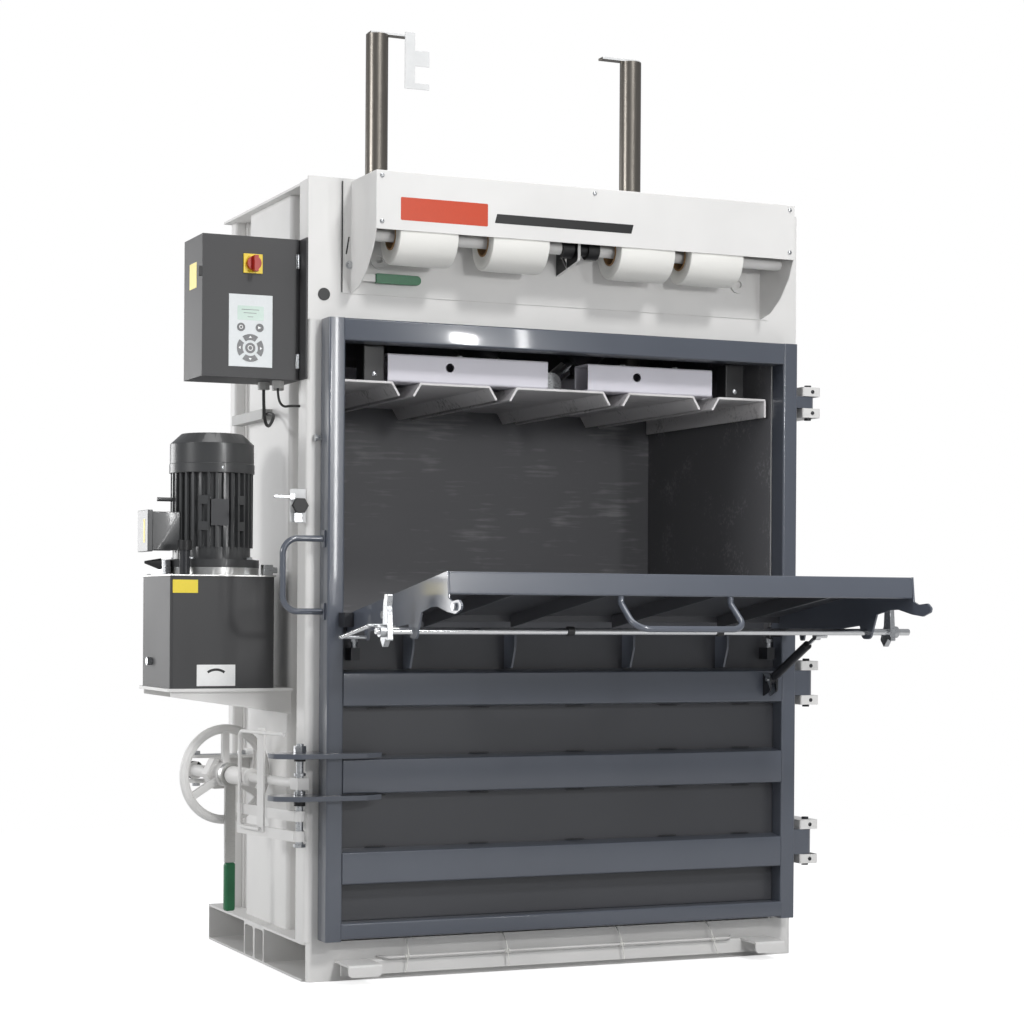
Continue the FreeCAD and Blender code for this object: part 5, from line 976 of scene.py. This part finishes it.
# ---------------------------------------------------------------- cords
# places and sizes in metres
MOTOR_CABLE = [
    (-0.736, -0.262, 1.423), (-0.736, -0.262, 1.380), (-0.723, -0.236, 1.342), (-0.692, -0.174, 1.340),
    (-0.651, -0.095, 1.385), (-0.651, -0.025, 1.385),
]
SWITCH_CABLE = [
    (-0.718, -0.318, 1.423), (-0.718, -0.318, 1.398), (-0.709, -0.329, 1.377), (-0.693, -0.344, 1.380),
    (-0.671, -0.344, 1.380),
]
TWINE_XS = (-0.413, -0.156, 0.156, 0.413)
TWINE_SWINGS = (-0.010, 0.006, 0.012, 0.022)
TWINE_RADIUS = 0.0014
TWINE_FRONT = -0.4324
RAIL_TOP = 0.0964
KNOT_PLACE = (-0.428, 0.054)
KNOT_RADIUS = 0.0045


def lay_cord(name, points, radius, key, node):
    """Round cord along a smooth line; it stands for the node."""
    curve = bpy.data.curves.new(name, "CURVE")
    curve.dimensions = "3D"
    spline = curve.splines.new("NURBS")
    spline.points.add(len(points) - 1)
    for spot, place in zip(spline.points, points):
        spot.co = (*place, 1.0)
    spline.order_u = 3
    spline.use_endpoint_u = True
    curve.resolution_u = 16
    cord = bpy.data.objects.new(name, curve)
    bpy.context.scene.collection.objects.link(cord)
    bpy.context.view_layer.update()
    graph = bpy.context.evaluated_depsgraph_get()
    line = bpy.data.meshes.new_from_object(cord.evaluated_get(graph))
    bpy.data.meshes.remove(line)
    curve.bevel_depth = radius
    curve.bevel_resolution = 5
    curve.use_fill_caps = True
    curve.materials.append(finish(key))
    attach(cord, "frame")
    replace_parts(cord, node)


def dress_cords():
    lay_cord("motor_cable", MOTOR_CABLE, 0.004, "cable", "cables")
    lay_cord("switch_cable", SWITCH_CABLE, 0.003, "cable", "cables")
    section = [(TWINE_RADIUS * math.cos(a), KNOT_RADIUS + TWINE_RADIUS * math.sin(a))
               for a in (TAU * i / 8 for i in range(8))]
    bm = bmesh.new()
    for number, (x, swing) in enumerate(zip(TWINE_XS, TWINE_SWINGS)):
        points = [
            (x, -0.386, RAIL_TOP), (x, -0.409, RAIL_TOP), (x + 0.25 * swing, TWINE_FRONT, 0.064),
            (x + 0.55 * swing, TWINE_FRONT, 0.038), (x + swing, -0.430, 0.016),
        ]
        lay_cord("twine_end_%d" % (number + 1), points, TWINE_RADIUS, "strand", "twine_ends")
        for shift in (-KNOT_RADIUS, KNOT_RADIUS):
            spot = (x + 0.4 * swing + shift, KNOT_PLACE[0], KNOT_PLACE[1])
            add_lathe(bm, spot, (1, 0, 0), section, 20)
    make_piece("twine_knots", bm, ["strand"], "frame")


# ---------------------------------------------------------------- stage
# places and sizes in metres
FLOOR_REACH = 14.0
FLOOR_TOP = -0.0005
FLOOR_UNDER = -0.02
FADE_FROM = 1.2
FADE_TO = 3.6
MIDDLE = (0.0, -0.3, 1.1)
LAMPS = (  # name, place, what it looks at, width and height in metres, watts
    ("key_high", (0.7, -6.0, 5.6), MIDDLE, (0.9, 0.9), 190.0),
    ("key_low", (0.0, -3.4, 1.67), MIDDLE, (0.22, 0.22), 19.0),
    ("fill_left", (-6.0, -1.2, 2.8), MIDDLE, (1.4, 1.4), 100.0),
    ("sheen_left", (-3.6, 5.0, 1.5), (-0.8, -0.1, 1.1), (3.0, 2.6), 110.0),
    ("top_soft", (0.0, -0.5, 5.6), (0.0, -0.2, 1.0), (3.0, 3.0), 110.0),
    ("strip_right", (1.2, -5.8, 1.8), (-0.6, -0.4, 1.2), (0.16, 1.6), 22.0),
)


def area_light(name, place, target, size, watts):
    lamp = bpy.data.lights.new(name, "AREA")
    lamp.shape = "RECTANGLE"
    lamp.size, lamp.size_y = size
    lamp.energy = watts
    obj = bpy.data.objects.new(name, lamp)
    obj.location = place
    obj.rotation_euler = (Vector(target) - Vector(place)).to_track_quat("-Z", "Y").to_euler()
    obj.visible_camera = False
    bpy.context.scene.collection.objects.link(obj)


def studio_world():
    """Even studio grey that lights the object, and plain white where the lens looks."""
    world = bpy.data.worlds.new("studio")
    world.use_nodes = True
    tree = world.node_tree
    tree.nodes.clear()
    soft = add(tree, "ShaderNodeBackground", {"Color": linear("#F4F6FA"), "Strength": 0.38})
    white = add(tree, "ShaderNodeBackground", {"Color": (1.0, 1.0, 1.0, 1.0), "Strength": 1.0})
    ray = add(tree, "ShaderNodeLightPath").outputs
    seen = add(
        tree, "ShaderNodeMath", {0: ray["Is Camera Ray"], 1: ray["Is Transmission Ray"]}, operation="MAXIMUM")
    mixed = add(tree, "ShaderNodeMixShader", {
        "Fac": seen.outputs[0], 1: soft.outputs["Background"], 2: white.outputs["Background"]})
    add(tree, "ShaderNodeOutputWorld", {"Surface": mixed.outputs["Shader"]})
    bpy.context.scene.world = world


def pale_floor():
    """Matt paper sweep: grey to the lamps, pale to the lens, and pure white away from the machine."""
    bm = bmesh.new()
    add_block(bm, (-FLOOR_REACH, -FLOOR_REACH, FLOOR_UNDER), (FLOOR_REACH, FLOOR_REACH, FLOOR_TOP))
    mesh = bpy.data.meshes.new("floor")
    bm.to_mesh(mesh)
    bm.free()
    material = bpy.data.materials.new("matt_white_paper")
    material.use_nodes = True
    tree = material.node_tree
    tree.nodes.clear()
    white = (1.0, 1.0, 1.0, 1.0)
    grey = add(tree, "ShaderNodeBsdfDiffuse", {"Color": (0.62, 0.62, 0.62, 1.0)})
    paper = add(tree, "ShaderNodeBsdfDiffuse", {"Color": (0.9, 0.9, 0.9, 1.0)})
    glow = add(tree, "ShaderNodeEmission", {"Color": white, "Strength": 0.6})
    near = add(tree, "ShaderNodeAddShader", {0: paper.outputs["BSDF"], 1: glow.outputs["Emission"]})
    place = add(tree, "ShaderNodeTexCoord").outputs["Object"]
    away = add(tree, "ShaderNodeVectorMath", {0: place}, operation="LENGTH").outputs["Value"]
    fade = add(tree, "ShaderNodeMapRange", {"Value": away, "From Min": FADE_FROM, "From Max": FADE_TO})
    far = add(tree, "ShaderNodeEmission", {"Color": white, "Strength": 1.0})
    sweep = add(tree, "ShaderNodeMixShader", {
        "Fac": fade.outputs["Result"], 1: near.outputs["Shader"], 2: far.outputs["Emission"]})
    ray = add(tree, "ShaderNodeLightPath").outputs["Is Camera Ray"]
    mixed = add(tree, "ShaderNodeMixShader", {
        "Fac": ray, 1: grey.outputs["BSDF"], 2: sweep.outputs["Shader"]})
    add(tree, "ShaderNodeOutputMaterial", {"Surface": mixed.outputs["Shader"]})
    mesh.materials.append(material)
    floor = bpy.data.objects.new("floor", mesh)
    bpy.context.scene.collection.objects.link(floor)


def make_camera():
    data = bpy.data.cameras.new("camera")
    data.sensor_fit = "HORIZONTAL"
    data.sensor_width = SENSOR_WIDTH
    data.lens = SENSOR_WIDTH * FOCAL_PIXELS / IMAGE_SIDE
    data.shift_y = (HORIZON_PIXEL - IMAGE_SIDE / 2.0) / IMAGE_SIDE
    camera = bpy.data.objects.new("camera", data)
    camera.location = CAMERA_PLACE
    camera.rotation_euler = (math.pi / 2.0, -CAMERA_ROLL, -CAMERA_YAW)
    bpy.context.scene.collection.objects.link(camera)
    bpy.context.scene.camera = camera


def make_stage():
    bpy.context.scene.view_settings.view_transform = "Standard"
    studio_world()
    pale_floor()
    make_camera()
    for lamp in LAMPS:
        area_light(*lamp)


# ---------------------------------------------------------------- add-on
class BALER_OT_stage(bpy.types.Operator):
    """Floor, world, lamps and the photograph's camera"""
    bl_idname = "baler.stage"
    bl_label = "Studio stage"

    def execute(self, context):
        make_stage()
        return {"FINISHED"}


class BALER_OT_chassis(bpy.types.Operator):
    """Base, side frames, chamber, head and what is bolted to them"""
    bl_idname = "baler.chassis"
    bl_label = "Chassis"

    def execute(self, context):
        dress_chassis()
        return {"FINISHED"}


class BALER_OT_hood(bpy.types.Operator):
    """Hood, brackets, brake lever and the plain fields"""
    bl_idname = "baler.hood"
    bl_label = "Twine hood"

    def execute(self, context):
        dress_hood()
        return {"FINISHED"}


class BALER_OT_rolls(bpy.types.Operator):
    """Windings, cores and hubs of the four rolls"""
    bl_idname = "baler.rolls"
    bl_label = "Twine rolls"

    def execute(self, context):
        dress_rolls()
        return {"FINISHED"}


class BALER_OT_ram(bpy.types.Operator):
    """Pressing plate, beams, guides and cylinders"""
    bl_idname = "baler.ram"
    bl_label = "Ram"

    def execute(self, context):
        dress_ram()
        return {"FINISHED"}


class BALER_OT_door(bpy.types.Operator):
    """Door frame, ribbed panel, handle and fittings"""
    bl_idname = "baler.door"
    bl_label = "Door"

    def execute(self, context):
        dress_door()
        return {"FINISHED"}


class BALER_OT_flap(bpy.types.Operator):
    """Flap, latch, spring and gas strut"""
    bl_idname = "baler.flap"
    bl_label = "Feed flap"

    def execute(self, context):
        dress_flap()
        return {"FINISHED"}


class BALER_OT_lock(bpy.types.Operator):
    """Handwheel, spindle, guard and ratchet lever"""
    bl_idname = "baler.lock"
    bl_label = "Door lock"

    def execute(self, context):
        dress_lock()
        return {"FINISHED"}


class BALER_OT_power_unit(bpy.types.Operator):
    """Tank, motor, cowl and fittings"""
    bl_idname = "baler.power_unit"
    bl_label = "Power unit"

    def execute(self, context):
        dress_motor()
        dress_tank()
        return {"FINISHED"}


class BALER_OT_cabinet(bpy.types.Operator):
    """Cabinet, keypad, display and main switch"""
    bl_idname = "baler.cabinet"
    bl_label = "Control cabinet"

    def execute(self, context):
        dress_cabinet()
        return {"FINISHED"}


class BALER_OT_cords(bpy.types.Operator):
    """Cables and twine ends"""
    bl_idname = "baler.cords"
    bl_label = "Cords"

    def execute(self, context):
        dress_cords()
        return {"FINISHED"}


OPERATORS = (
    BALER_OT_stage, BALER_OT_chassis, BALER_OT_hood, BALER_OT_rolls, BALER_OT_ram, BALER_OT_door,
    BALER_OT_flap, BALER_OT_lock, BALER_OT_power_unit, BALER_OT_cabinet, BALER_OT_cords,
)


class BALER_PT_panel(bpy.types.Panel):
    """Lists the settings and the operators"""
    bl_label = "Recycling Baler"
    bl_space_type = "VIEW_3D"
    bl_region_type = "UI"
    bl_category = "Baler"

    def draw(self, context):
        for group in (context.scene.baler_sizes, context.scene.baler_colours):
            for name in group.bl_rna.properties.keys():
                if name not in ("rna_type", "name"):
                    self.layout.prop(group, name)
        for operator in OPERATORS:
            self.layout.operator(operator.bl_idname)


CLASSES = (BalerColours, BalerSizes, *OPERATORS, BALER_PT_panel)


def register():
    for item in CLASSES:
        bpy.utils.register_class(item)
    bpy.types.Scene.baler_colours = bpy.props.PointerProperty(type=BalerColours)
    bpy.types.Scene.baler_sizes = bpy.props.PointerProperty(type=BalerSizes)


def unregister():
    del bpy.types.Scene.baler_colours
    del bpy.types.Scene.baler_sizes
    for item in reversed(CLASSES):
        bpy.utils.unregister_class(item)


def main():
    register()
    for operator in OPERATORS:
        group, name = operator.bl_idname.split(".")
        getattr(getattr(bpy.ops, group), name)()


if __name__ == "__main__":
    main()
